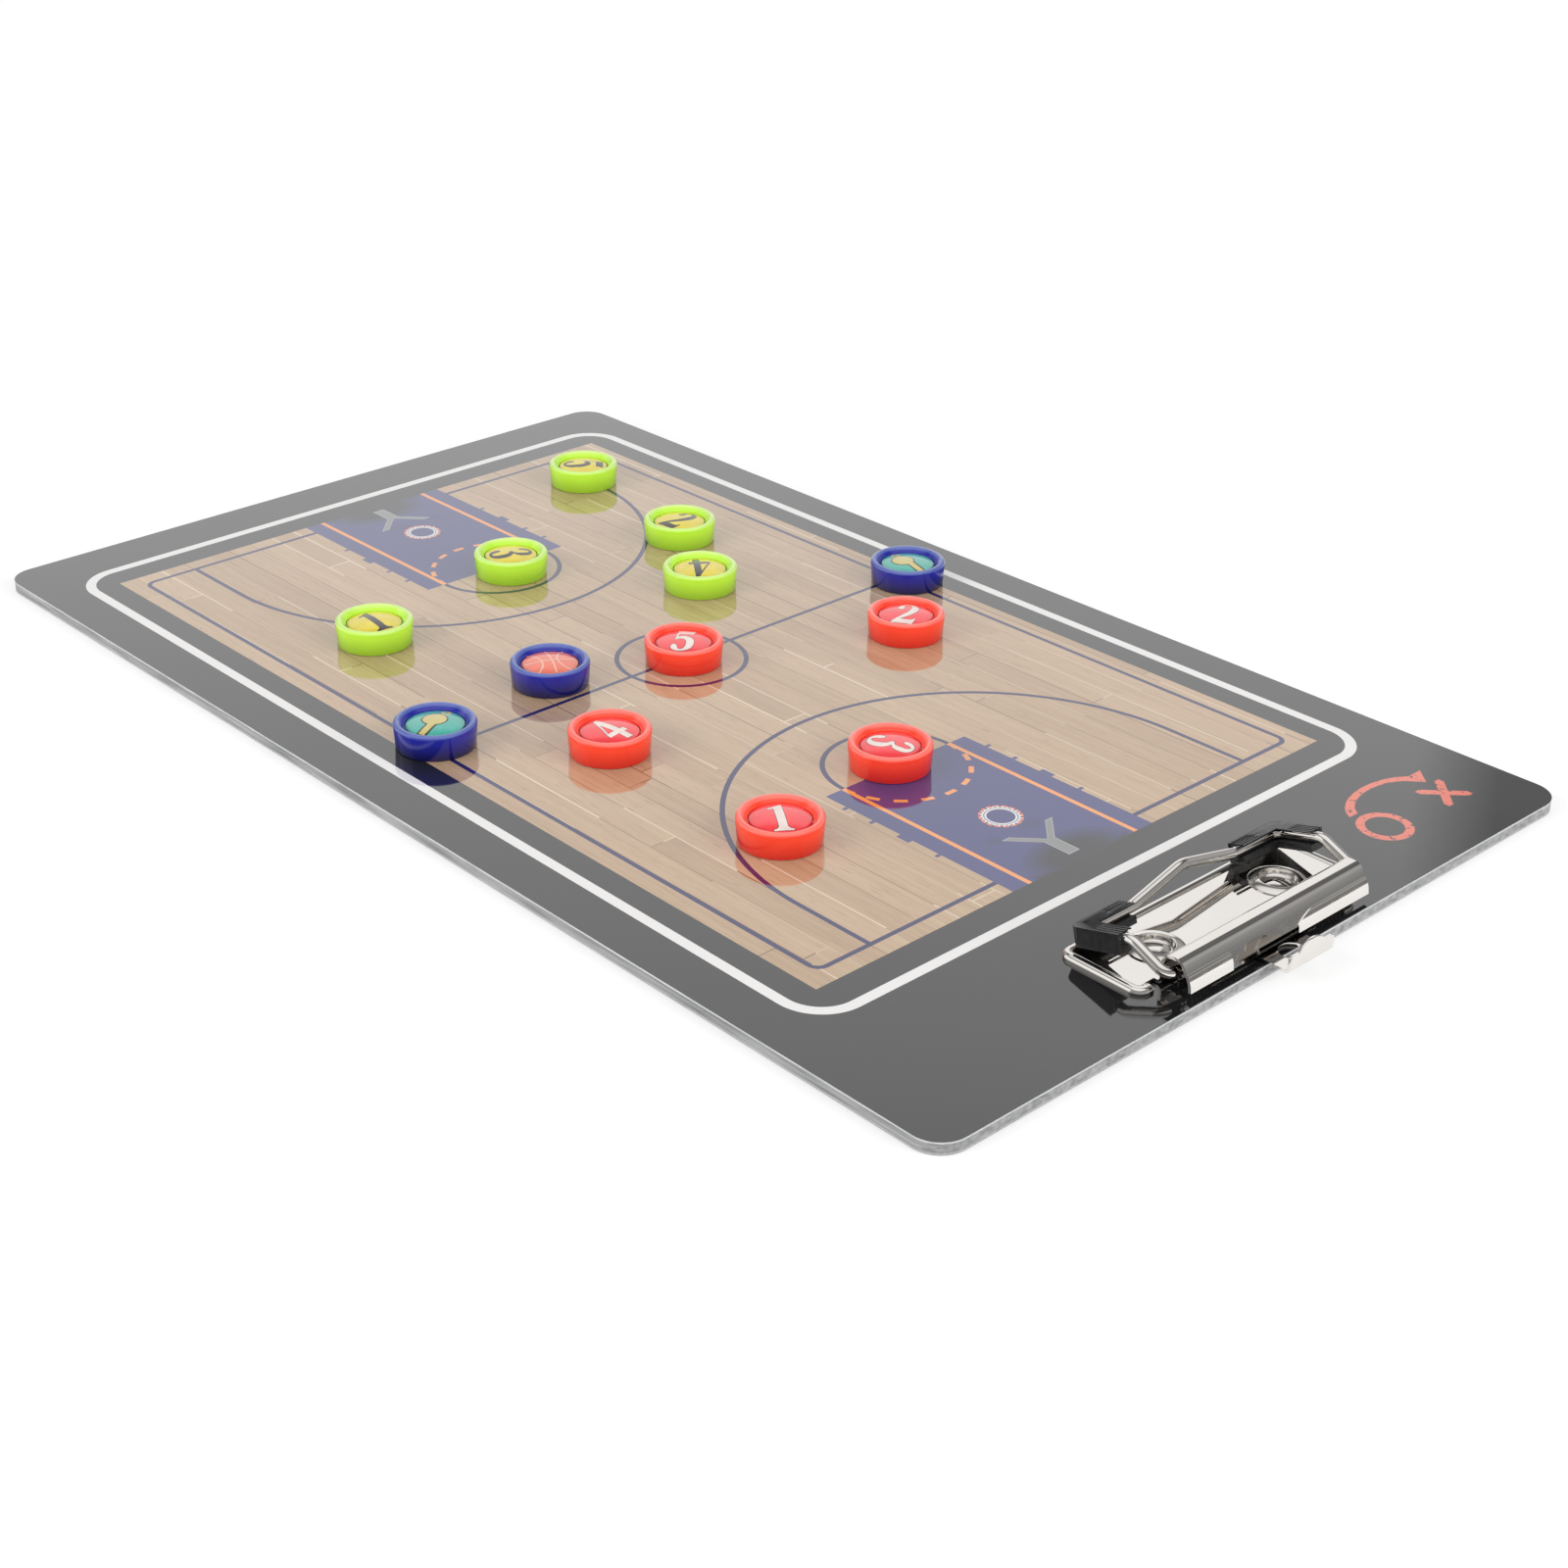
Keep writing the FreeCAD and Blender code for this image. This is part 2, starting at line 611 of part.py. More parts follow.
# Marker discs: one set of three pieces, repeated at each place
pocket_radius = magnet_radius + magnet_fit
pocket_top = magnet_sink + magnet_height + magnet_fit
recess_radius = label_radius + label_fit
funnel_foot = disc_height - funnel_depth
recess_floor = funnel_foot - label_edge
land_inner = disc_radius - disc_edge_round - disc_land
foot_radius = disc_radius - disc_draft
core_out_inner = pocket_radius + core_out_wall
core_out_outer = core_out_inner + core_out_width
edge_out = disc_edge_round * (1 - math.sqrt(0.5))
shell = turned(outline(
    (pocket_radius, 0),
    (pocket_radius, pocket_top),
    (0, pocket_top),
    (0, recess_floor),
    (recess_radius, recess_floor),
    (recess_radius, funnel_foot),
    (land_inner, disc_height),
    (disc_radius - disc_edge_round, disc_height),
    ((disc_radius - edge_out, disc_height - edge_out), (disc_radius, disc_height - disc_edge_round)),
    (foot_radius, disc_foot_round),
    (foot_radius - disc_foot_round, 0),
    (core_out_outer, 0),
    (core_out_outer, core_out_depth),
    (core_out_inner, core_out_depth),
    (core_out_inner, 0),
))
label_top = recess_floor + label_edge
dome_sphere = (label_radius ** 2 + label_dome ** 2) / (2 * label_dome)
dome_centre = label_top + label_dome - dome_sphere
dome_half = dome_centre + math.sqrt(dome_sphere ** 2 - (label_radius / 2) ** 2)
label = turned(outline(
    (0, recess_floor),
    (label_radius, recess_floor),
    (label_radius, label_top),
    ((label_radius / 2, dome_half), (0, label_top + label_dome)),
))
magnet = Part.makeCylinder(magnet_radius, magnet_height, Vector(0, 0, magnet_sink))
for marker, (x, y) in disc_places.items():
    place = Vector(x, y, board_top)
    save(marker + "_shell", shell.translated(place))
    save(marker + "_label", label.translated(place))
    save(marker + "_magnet", magnet.translated(place))
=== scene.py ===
import math

import bmesh
import bpy
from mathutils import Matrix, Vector


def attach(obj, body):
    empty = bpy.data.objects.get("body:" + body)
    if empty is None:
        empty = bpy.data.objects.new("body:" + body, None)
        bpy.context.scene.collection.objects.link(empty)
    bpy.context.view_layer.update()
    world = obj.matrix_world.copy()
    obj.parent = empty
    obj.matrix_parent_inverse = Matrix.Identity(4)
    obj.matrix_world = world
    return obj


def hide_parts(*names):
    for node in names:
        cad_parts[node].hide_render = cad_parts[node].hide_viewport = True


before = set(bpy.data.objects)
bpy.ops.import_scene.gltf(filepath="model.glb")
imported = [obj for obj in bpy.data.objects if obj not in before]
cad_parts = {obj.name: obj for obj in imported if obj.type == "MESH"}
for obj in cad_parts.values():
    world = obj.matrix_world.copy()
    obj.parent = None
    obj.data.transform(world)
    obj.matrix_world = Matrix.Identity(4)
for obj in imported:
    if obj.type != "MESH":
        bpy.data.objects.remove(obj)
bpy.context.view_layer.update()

# Board stack: dark back film, thin balancing sheet, stiff grey core and the steel that magnets hold to.
# The layers are glued in a press and milled round together, so they show as fine bands in the edge,
# with long cutter marks on the sides and a speckled cut across the ends.
MM = 0.001


def finish(name, colour, roughness, metallic=0.0, **inputs):
    """A material with one Principled shader. Further inputs are given with _ for a space."""
    material = bpy.data.materials.new(name)
    material.use_nodes = True
    shader = material.node_tree.nodes["Principled BSDF"]
    shader.inputs["Base Color"].default_value = (*colour, 1)
    shader.inputs["Roughness"].default_value = roughness
    shader.inputs["Metallic"].default_value = metallic
    for key, value in inputs.items():
        shader.inputs[key.replace("_", " ")].default_value = value
    return material


def grain(material, scale, detail=4.0):
    """Noise on Object coordinates; scale is waves per metre along x, y and z."""
    tree = material.node_tree
    place = tree.nodes.new("ShaderNodeTexCoord")
    stretch = tree.nodes.new("ShaderNodeMapping")
    stretch.inputs["Scale"].default_value = scale
    noise = tree.nodes.new("ShaderNodeTexNoise")
    noise.inputs["Scale"].default_value = 1.0
    noise.inputs["Detail"].default_value = detail
    tree.links.new(place.outputs["Object"], stretch.inputs["Vector"])
    tree.links.new(stretch.outputs["Vector"], noise.inputs["Vector"])
    return noise.outputs["Fac"]


def shade_between(material, field, dark, light):
    """Lets a field move the base colour between two colours."""
    tree = material.node_tree
    ramp = tree.nodes.new("ShaderNodeValToRGB")
    ramp.color_ramp.elements[0].position = 0.3
    ramp.color_ramp.elements[1].position = 0.7
    ramp.color_ramp.elements[0].color = (*dark, 1)
    ramp.color_ramp.elements[1].color = (*light, 1)
    tree.links.new(field, ramp.inputs["Fac"])
    tree.links.new(ramp.outputs["Color"], tree.nodes["Principled BSDF"].inputs["Base Color"])


def rough_between(material, field, low, high):
    """Lets a field move the roughness between two values."""
    tree = material.node_tree
    span = tree.nodes.new("ShaderNodeMapRange")
    span.inputs["From Min"].default_value = 0.3
    span.inputs["From Max"].default_value = 0.7
    span.inputs["To Min"].default_value = low
    span.inputs["To Max"].default_value = high
    tree.links.new(field, span.inputs["Value"])
    tree.links.new(span.outputs["Result"], tree.nodes["Principled BSDF"].inputs["Roughness"])


def bump(material, field, depth, strength=1.0):
    """Raises the surface by a field, depth in metres."""
    tree = material.node_tree
    node = tree.nodes.new("ShaderNodeBump")
    node.inputs["Distance"].default_value = depth
    node.inputs["Strength"].default_value = strength
    tree.links.new(field, node.inputs["Height"])
    tree.links.new(node.outputs["Normal"], tree.nodes["Principled BSDF"].inputs["Normal"])


def dress(node, material):
    """Gives a solid of the frame its finish."""
    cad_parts[node].data.materials.clear()
    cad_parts[node].data.materials.append(material)


sawn_core = finish("sawn_grey_core", (0.36, 0.37, 0.38), 0.55)
cutter_marks = grain(sawn_core, (700, 60, 1100), 6.0)
shade_between(sawn_core, cutter_marks, (0.2, 0.202, 0.202), (0.43, 0.432, 0.43))
bump(sawn_core, cutter_marks, 0.00006)
dress("core_sheet", sawn_core)

edge_steel = finish("cut_steel_edge", (0.66, 0.67, 0.68), 0.4, 0.5)
steel_marks = grain(edge_steel, (1400, 160, 2600), 5.0)
shade_between(edge_steel, steel_marks, (0.5, 0.51, 0.52), (0.8, 0.81, 0.82))
rough_between(edge_steel, steel_marks, 0.3, 0.5)
dress("steel_sheet", edge_steel)

edge_sheet = finish("balancing_sheet", (0.5, 0.5, 0.5), 0.42, 0.4)
shade_between(edge_sheet, grain(edge_sheet, (1200, 140, 2600), 5.0), (0.4, 0.4, 0.41), (0.62, 0.62, 0.63))
dress("back_sheet", edge_sheet)

back_skin = finish("plain_back_film", (0.3, 0.3, 0.31), 0.42)
leather_pebble = grain(back_skin, (900, 900, 900), 3.0)
rough_between(back_skin, leather_pebble, 0.36, 0.5)
bump(back_skin, leather_pebble, 0.00003)
dress("back_film", back_skin)

# Front film: clear gloss film with the court printed in reverse on its under side, laid on the steel.
# Black surround, a white frame line, a timber court with navy lines, two keys and hoop signs.
# The gloss above the ink is a second bright surface, so it is a coat over the ink's own gloss.
SURROUND_BLACK = (0.012, 0.012, 0.013)
film = finish(
    "printed_court_film", SURROUND_BLACK, 0.06, Coat_Weight=1.0, Coat_Roughness=0.015, Coat_IOR=1.5)
inks = film.node_tree


class Ink:
    """A value that varies over the film, in millimetres, made of Math nodes."""

    def __init__(self, socket):
        self.socket = socket

    def __add__(self, other):
        return reckon("ADD", self, other)

    def __sub__(self, other):
        return reckon("SUBTRACT", self, other)

    def __rsub__(self, other):
        return reckon("SUBTRACT", other, self)

    def __mul__(self, other):
        return reckon("MULTIPLY", self, other)

    def __abs__(self):
        return reckon("ABSOLUTE", self)


def reckon(operation, *values, clamp=False):
    """One Math node on inks and plain numbers."""
    node = inks.nodes.new("ShaderNodeMath")
    node.operation = operation
    node.use_clamp = clamp
    for socket, value in zip(node.inputs, values):
        if isinstance(value, Ink):
            inks.links.new(value.socket, socket)
        else:
            socket.default_value = value
    return Ink(node.outputs[0])


def most(*values):
    """The largest of several distances, which is where all their shapes overlap."""
    result = values[0]
    for value in values[1:]:
        result = reckon("MAXIMUM", result, value)
    return result


def least(*values):
    """The smallest of several distances, which is the union of their shapes."""
    result = values[0]
    for value in values[1:]:
        result = reckon("MINIMUM", result, value)
    return result


def reach(across, along):
    """Length of a vector."""
    return reckon("SQRT", across * across + along * along)


def rounded(across, along, half_width, half_length, radius):
    """Distance to a rectangle about the middle with rounded corners."""
    out_x = across - (half_width - radius)
    out_y = along - (half_length - radius)
    corner = reach(most(out_x, 0.0), most(out_y, 0.0))
    return corner + least(most(out_x, out_y), 0.0) - radius


def printed(distance, edge=0.05):
    """1 inside a shape and 0 outside, with an edge as soft as the print's."""
    return reckon("MULTIPLY_ADD", distance, -1.0 / edge, 0.5, clamp=True)


def stroke(distance, width):
    """A line of a given width along a shape's outline."""
    return abs(distance) - width / 2


def dashes(angle, count, half_share, turn=0.0):
    """Breaks a ring into dashes: below 0 inside each, which takes up twice half_share of its pitch."""
    return abs(reckon("FRACT", angle * (count / (2 * math.pi)) + turn) - 0.5) - half_share


def lay_ink(below, colour, cover):
    """Prints one colour over those below it."""
    mix = inks.nodes.new("ShaderNodeMix")
    mix.data_type = "RGBA"
    inks.links.new(cover.socket, mix.inputs["Factor"])
    for socket, value in ((mix.inputs["A"], below), (mix.inputs["B"], colour)):
        if isinstance(value, tuple):
            socket.default_value = (*value, 1)
        else:
            inks.links.new(value, socket)
    return mix.outputs["Result"]


spot = inks.nodes.new("ShaderNodeTexCoord")
parts_of_spot = inks.nodes.new("ShaderNodeSeparateXYZ")
inks.links.new(spot.outputs["Object"], parts_of_spot.inputs["Vector"])
x = Ink(parts_of_spot.outputs["X"]) * (1 / MM)
y = Ink(parts_of_spot.outputs["Y"]) * (1 / MM)
court_middle = -14.2
court_off_side = 0.5
side = abs(x + court_off_side)
along_court = y - court_middle
half = abs(along_court)

# Timber: strips 7.1 mm wide on the print, cut to random lengths, each with its own tone and grain, and
# with dark or worn bright joints between them.
strip_width = 7.1
strip_length = 120.0
strip_start = 0.31
joint_half_width = 0.17
wear_length = 38.0


def at_spot(node, *values):
    """Gives a texture node a place made of inks, as its x, y and z."""
    place = inks.nodes.new("ShaderNodeCombineXYZ")
    for socket, value in zip(place.inputs, values):
        inks.links.new(value.socket, socket)
    inks.links.new(place.outputs["Vector"], node.inputs["Vector"])


def chance(*counts):
    """A fixed random value from 0 to 1 for each whole number, or for each pair of them."""
    node = inks.nodes.new("ShaderNodeTexWhiteNoise")
    if len(counts) == 1:
        node.noise_dimensions = "1D"
        inks.links.new(counts[0].socket, node.inputs["W"])
    else:
        node.noise_dimensions = "2D"
        at_spot(node, *counts)
    return Ink(node.outputs["Value"])


def mottle(detail, roughness, *values):
    """Noise over a place made of inks."""
    node = inks.nodes.new("ShaderNodeTexNoise")
    node.inputs["Scale"].default_value = 1.0
    node.inputs["Detail"].default_value = detail
    node.inputs["Roughness"].default_value = roughness
    at_spot(node, *values)
    return Ink(node.outputs["Fac"])


strip_count = x * (1 / strip_width) + strip_start
strip = reckon("FLOOR", strip_count)
length_count = y * (1 / strip_length) + chance(strip) * 3.0
tone = chance(strip, reckon("FLOOR", length_count))
streaks = mottle(6.0, 0.62, x * 0.8, y * 0.03, tone * 40)
timber_field = reckon("MULTIPLY_ADD", streaks, 0.66, tone * 0.26 + 0.07)
timber = inks.nodes.new("ShaderNodeValToRGB")
timber.color_ramp.elements[0].position = 0.15
timber.color_ramp.elements[0].color = (0.36, 0.225, 0.125, 1)
timber.color_ramp.elements[1].position = 0.85
timber.color_ramp.elements[1].color = (0.60, 0.43, 0.275, 1)
inks.links.new(timber_field.socket, timber.inputs["Fac"])
flecks = mottle(3.0, 0.5, x * 2.6, y * 0.16, tone * 25)
fleck_cover = reckon("MULTIPLY_ADD", flecks, 9.0, -5.4, clamp=True)
wood = lay_ink(timber.outputs["Color"], (0.33, 0.2, 0.12), fleck_cover * 0.65)
wear = chance(reckon("ROUND", strip_count), reckon("FLOOR", y * (1 / wear_length)))
strip_edge = abs(strip_count - reckon("ROUND", strip_count)) * strip_width
length_edge = abs(length_count - reckon("ROUND", length_count)) * strip_length
joints = printed(least(strip_edge, length_edge) - joint_half_width, 0.14)
dark_joints = joints * reckon("MULTIPLY_ADD", wear, -1.5, 1.0, clamp=True)
worn_joints = joints * reckon("MULTIPLY_ADD", wear, 1.8, -0.9, clamp=True)
wood = lay_ink(wood, (0.2, 0.115, 0.065), dark_joints)
wood = lay_ink(wood, (0.86, 0.73, 0.57), worn_joints)

# The surround, its frame line and the court, laid down in printing order.
NAVY = (0.016, 0.013, 0.095)
KEY_BLUE = (0.047, 0.05, 0.185)
ORANGE = (0.88, 0.33, 0.09)
CHALK = (0.78, 0.77, 0.76)
frame_half_width = 90.2
frame_half_length = 144.5
frame_corner = 10.2
frame_line = stroke(rounded(side, half, frame_half_width, frame_half_length, frame_corner), 2.7)
colour = lay_ink(SURROUND_BLACK, CHALK, printed(frame_line))
court_half_width = 82.3
court_half_length = 135.6
court = most(side - court_half_width, half - court_half_length)
colour = lay_ink(colour, wood, printed(court))

# The lines were printed a little nearer the clip than the timber, and each key a little to one side.
line_width = 1.25
line_shift = 0.85
from_middle = along_court - line_shift
line_half = abs(from_middle)
which_end = reckon("SIGN", from_middle)
boundary_x = 77.1
boundary_y = 130.6
boundary_corner = 2.6
boundary = stroke(rounded(side, half, boundary_x, boundary_y, boundary_corner), line_width)
middle_line = most(line_half - line_width / 2, side - boundary_x)
centre_ring_radius = 16.4
centre_ring = stroke(reach(side, from_middle) - centre_ring_radius, line_width)
arc_radius = 61.4
arc_middle = 108.0
arc_off_side = 0.2
arc_side = abs(x * which_end - arc_off_side)
three_point = stroke(reach(arc_side, most(arc_middle - line_half, 0.0)) - arc_radius, line_width)
three_point = most(three_point, half - boundary_y)

key_half_width = 22.9
key_start = 77.7
key_off_side = 1.0
key_across = x * which_end - key_off_side
key_side = abs(key_across)
into_key = line_half - key_start
key = most(key_side - key_half_width, key_start - line_half, half - court_half_length)
throw_radius = 17.3
throw_ring = stroke(reach(key_side, into_key) - throw_radius, line_width)
mark_reach = 1.4
# Each lane mark has its place from the court's middle and its width.
mark_places = ((85.6, 1.0), (94.1, 1.0), (104.1, 3.8), (114.3, 1.0))
marks = least(*(stroke(half - place, width) for place, width in mark_places))
lane_marks = most(marks, key_side - (key_half_width + mark_reach), key_half_width - key_side)
lines = least(boundary, middle_line, centre_ring, three_point, most(throw_ring, into_key))
colour = lay_ink(colour, NAVY, printed(lines))
colour = lay_ink(colour, KEY_BLUE, printed(least(key, lane_marks)))

throw_dashes = dashes(reckon("ARCTAN2", into_key, key_across), 17, 0.25, 0.25)
throw_inside = printed(most(throw_ring, key_start - line_half)) * printed(throw_dashes, 0.03)
colour = lay_ink(colour, ORANGE, throw_inside)
lane_x = 17.4
lane_lines = most(stroke(key_side - lane_x, line_width), key_start - line_half, half - court_half_length)
colour = lay_ink(colour, ORANGE, printed(lane_lines))

# Hoop sign: the soft dark shade of its stand, the stand itself, and a corded ring. Both signs are one
# drawing, turned half round for the far end, so they lie in the middle of their keys.
hoop_y = 111.2
rim_radius = 4.85
stand_fork = 126.2
arm_length = 7.2
arm_spread = 7.15
arm_half_width = 1.2
stem_half_width = 1.78
stem_half_length = 3.65
stem_middle = 129.2
shade_foot = reach(key_across * 0.55, (half - 133.5) * 0.9) - 6.5
shade_end = most(key_side - 15.0, 134.5 - half)
right_tip = reach(key_across - 9.6, half - 117.8)
left_tip = reach((key_across + 2.5) * 0.6, half - 118.3)
shade_tips = least(right_tip, left_tip) - 0.8
stand_shade = most(printed(shade_foot, 4.5), printed(shade_end, 3.0), printed(shade_tips, 4.0) * 0.5)
colour = lay_ink(colour, SURROUND_BLACK, stand_shade * printed(key) * 0.94)
arm_middle = (stand_fork - half) * (arm_spread / arm_length)
arm_tip = stand_fork - arm_length
arm = most(abs(key_side - arm_middle) - arm_half_width, arm_tip - half, half - stand_fork)
stem = most(key_side - stem_half_width, abs(half - stem_middle) - stem_half_length)
stand = least(arm, stem)
colour = lay_ink(colour, (0.36, 0.36, 0.36), printed(stand))
colour = lay_ink(colour, (0.23, 0.235, 0.235), printed(stand + 0.3, 0.2))
from_hoop = reach(key_across, half - hoop_y)
hoop_angle = reckon("ARCTAN2", half - hoop_y, key_across)
rim = printed(stroke(from_hoop - rim_radius, 0.55)) * printed(dashes(hoop_angle, 16, 0.38), 0.08)
colour = lay_ink(colour, (0.8, 0.22, 0.1), rim)
cords = printed(stroke(from_hoop - 4.3, 0.6)) * printed(dashes(hoop_angle, 24, 0.3), 0.08)
cord_lines = printed(least(stroke(from_hoop - 4.1, 0.3), stroke(from_hoop - 3.5, 0.45)))
colour = lay_ink(colour, CHALK, most(cords, cord_lines))

# Corner sign: a coach's own shorthand, a ring, a cross and a bent arrow, in worn coral ink.
sign_x = -71.4
sign_y = 152.3
to_side = sign_x - x
to_edge = sign_y - y
ring_radius = 5.4
cross_half = 4.6
path_radius = 8.0
sign_ring = stroke(reach(to_side + 12.0, to_edge + 4.5) - ring_radius, 2.0)
cross_x = to_side - 11.5
cross_y = to_edge + 4.0
cross_arms = least(abs(cross_x - cross_y), abs(cross_x + cross_y)) - 1.5
sign_cross = most(cross_arms, most(abs(cross_x), abs(cross_y)) - cross_half)
bend = stroke(reach(to_side * 0.6, to_edge - 1.0) - path_radius, 1.7)
sign_path = most(bend, 3.2 - to_edge)
head_x = to_side - 12.9
head_y = to_edge - 4.4
sign_head = most(abs(head_x) * 0.9 - head_y * 0.8 - 2.2, head_y - 1.6)
speckle = inks.nodes.new("ShaderNodeTexNoise")
speckle.inputs["Scale"].default_value = 900.0
speckle.inputs["Detail"].default_value = 5.0
inks.links.new(spot.outputs["Object"], speckle.inputs["Vector"])
worn = reckon("MULTIPLY_ADD", Ink(speckle.outputs["Fac"]), -14.0, 9.2, clamp=True)
corner_sign = printed(least(sign_ring, sign_cross, sign_path, sign_head), 0.25) * worn
colour = lay_ink(colour, (0.78, 0.16, 0.1), corner_sign)
inks.links.new(colour, inks.nodes["Principled BSDF"].inputs["Base Color"])
rough_between(film, grain(film, (60, 60, 60), 5.0), 0.05, 0.085)
dress("front_film", film)

# Clip base and barrel: thin sheet, bright nickel plated. The base is a beaded bed with a tongue for the
# hanging hole, and the curled barrel with its flared skirt stands along the bed's near side. Sheared edges
# are broken by tumbling before plating. Two dished rivets hold the bed, rolled over washers in the back.
nickel = finish("bright_nickel", (0.82, 0.79, 0.755), 0.04, 1.0)
plating = grain(nickel, (260, 260, 260), 3.0)
rough_between(nickel, plating, 0.03, 0.07)
shade_between(nickel, grain(nickel, (60, 90, 60), 2.0), (0.8, 0.77, 0.735), (0.84, 0.81, 0.775))
bump(nickel, grain(nickel, (90, 60, 90), 1.0), 0.00008, 0.12)


def show(name, mesh, material, body, slot, *nodes):
    """Adds a finished piece to the scene on a body, in place of some solids."""
    mesh.name = name
    mesh.materials.clear()
    mesh.materials.append(material)
    piece = bpy.data.objects.new(name, mesh)
    bpy.context.collection.objects.link(piece)
    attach(piece, body)
    if nodes:
        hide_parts(*nodes)


def plain_mesh(piece):
    """The mesh that a piece's modifiers make, with the piece itself removed."""
    bpy.context.view_layer.update()
    made = bpy.data.meshes.new_from_object(piece.evaluated_get(bpy.context.evaluated_depsgraph_get()))
    bpy.data.objects.remove(piece)
    return made


def eased(node, width, corner=32, weld=0.001 * MM, reshape=None):
    """A copy of a solid with its sharp edges rounded over; points within weld are joined first."""
    form = bmesh.new()
    form.from_mesh(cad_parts[node].data)
    bmesh.ops.remove_doubles(form, verts=form.verts, dist=weld)
    bmesh.ops.dissolve_limit(form, angle_limit=math.radians(1), verts=form.verts, edges=form.edges)
    if reshape:
        reshape(form)
    mesh = bpy.data.meshes.new(node)
    form.to_mesh(mesh)
    form.free()
    mesh.shade_smooth()
    rough = bpy.data.objects.new(node + "_sharp", mesh)
    bpy.context.collection.objects.link(rough)
    round_over = rough.modifiers.new("edges", "BEVEL")
    round_over.width = width
    round_over.segments = 2
    round_over.limit_method = "ANGLE"
    round_over.angle_limit = math.radians(corner)
    even_faces = rough.modifiers.new("flat_faces", "WEIGHTED_NORMAL")
    even_faces.mode = "FACE_AREA"
    even_faces.weight = 100
    return plain_mesh(rough)


broken_edge = 0.1 * MM
show("clip_bed", eased("clip_base", broken_edge), nickel, "board", "nickel_plate", "clip_base")

bend_end = 10.1
belly_fall = 2.0
belly_out = 0.25
belly_bands = 8
wall_y = 170.2
wall_z = 10.5
wall_lean = 0.45
wall_depth = 0.9


def bellied(form):
    """Rounds the barrel's near wall off below its bend, as sprung sheet does, and moves the rest with it."""
    for i in range(belly_bands):
        level = (bend_end - belly_fall * (i + 1) / belly_bands) * MM
        whole_form = form.verts[:] + form.edges[:] + form.faces[:]
        bmesh.ops.bisect_plane(form, geom=whole_form, plane_co=(0, 0, level), plane_no=(0, 0, 1))
    for vert in form.verts:
        along, height = vert.co.y / MM, vert.co.z / MM
        part_way = min(1, (bend_end - height) / belly_fall)
        if part_way > 0 and along > wall_y + (wall_z - height) * wall_lean - wall_depth:
            vert.co.y += belly_out * (1 - (1 - part_way) ** 2) * MM


barrel_sheet = eased("clip_barrel", broken_edge, weld=0.04 * MM, reshape=bellied)
show("clip_barrel_sheet", barrel_sheet, nickel, "board", "nickel_plate", "clip_barrel")
dress("rivet_washers", edge_steel)


def arc(centre, radius, start, end, count=6):
    """Points of an arc, angles in degrees."""
    steps = [math.radians(start + (end - start) * i / count) for i in range(count + 1)]
    return [(centre[0] + radius * math.cos(a), centre[1] + radius * math.sin(a)) for a in steps]


def turned(profile, centres, count=96):
    """Mesh turned about upright lines; profile is (radius, height) in mm, from axis round to axis."""
    form = bmesh.new()
    for across, along in centres:
        rings = []
        for radius, height in profile:
            ring = [
                form.verts.new((
                    (across + radius * math.cos(2 * math.pi * i / count)) * MM,
                    (along + radius * math.sin(2 * math.pi * i / count)) * MM,
                    height * MM,
                ))
                for i in range(count if radius > 0 else 1)
            ]
            rings.append(ring)
        for low, high in zip(rings, rings[1:]):
            for i in range(count):
                j = (i + 1) % count
                corners = [low[i % len(low)], low[j % len(low)], high[j % len(high)], high[i % len(high)]]
                form.faces.new(list(dict.fromkeys(corners)))
    bmesh.ops.recalc_face_normals(form, faces=form.faces)
    mesh = bpy.data.meshes.new("turned")
    form.to_mesh(mesh)
    form.free()
    mesh.shade_smooth()
    mesh.set_sharp_from_angle(angle=math.radians(38))
    return mesh


cup_radius = 3.3
cup_floor = 3.5
cup_dome = 0.4
flange_radius = 6.4
bed_top = 4.0
shank_radius = 2.5
hollow_radius = 1.4
rivet_places = [(20.3, 156.8), (-20.3, 156.8)]
rivet_profile = (
    [(cup_radius * i / 6, cup_floor + cup_dome * (1 - (i / 6) ** 2)) for i in range(6)]
    + arc((cup_radius, 4.1), 0.6, -90, 0)
    + [(4.12, 4.8)]
    + arc((4.22, 4.8), 0.1, 170, 75, 4)
    + [(4.3 + 2.0 * t, 4.89 - 0.2 * t - 0.38 * t * t) for t in (0.1, 0.25, 0.4, 0.55, 0.7, 0.85, 1.0)]
    + [(flange_radius, 4.2), (flange_radius, bed_top), (4.4, bed_top)]
    + [(4.4, 3.0), (shank_radius, 3.0), (shank_radius, 0.42)]
    + arc((3.7, 0.42), 0.3, 0, -90)
    + [(hollow_radius, 0.12), (hollow_radius, 1.42), (0.0, 1.42)]
)
rivet_mesh = turned(rivet_profile, rivet_places)
show("dished_rivets", rivet_mesh, nickel, "board", "nickel_plate", "clip_rivets")

# Wire bail: one length of bright drawn wire bent to shape, with a bow in the middle to lift it by.
# Its ends turn in the barrel's ears, where two torsion springs press it down.
# Each corner has its place across, along and up, and its bend's radius.
board_top = 3.0
bail_wire_radius = 1.25
pivot = (168.6, board_top + 4.3)
bail_corners = [
    (17.25, *pivot, 0.0),
    (31.4, *pivot, 2.4),
    (31.4, 159.2, board_top + 8.5, 4.0),
    (31.4, 147.3, board_top + 5.1, 3.0),
    (16.77, 147.3, board_top + 5.1, 5.0),
]
bow_top = (0.0, 146.366, board_top + 8.369, 8.0)
bail_line = bail_corners + [bow_top] + [(-a, b, c, r) for a, b, c, r in reversed(bail_corners)]
wire_line = bpy.data.meshes.new("bail_line")
wire_points = [(a * MM, b * MM, c * MM) for a, b, c, r in bail_line]
wire_line.from_pydata(wire_points, [(i, i + 1) for i in range(len(wire_points) - 1)], [])
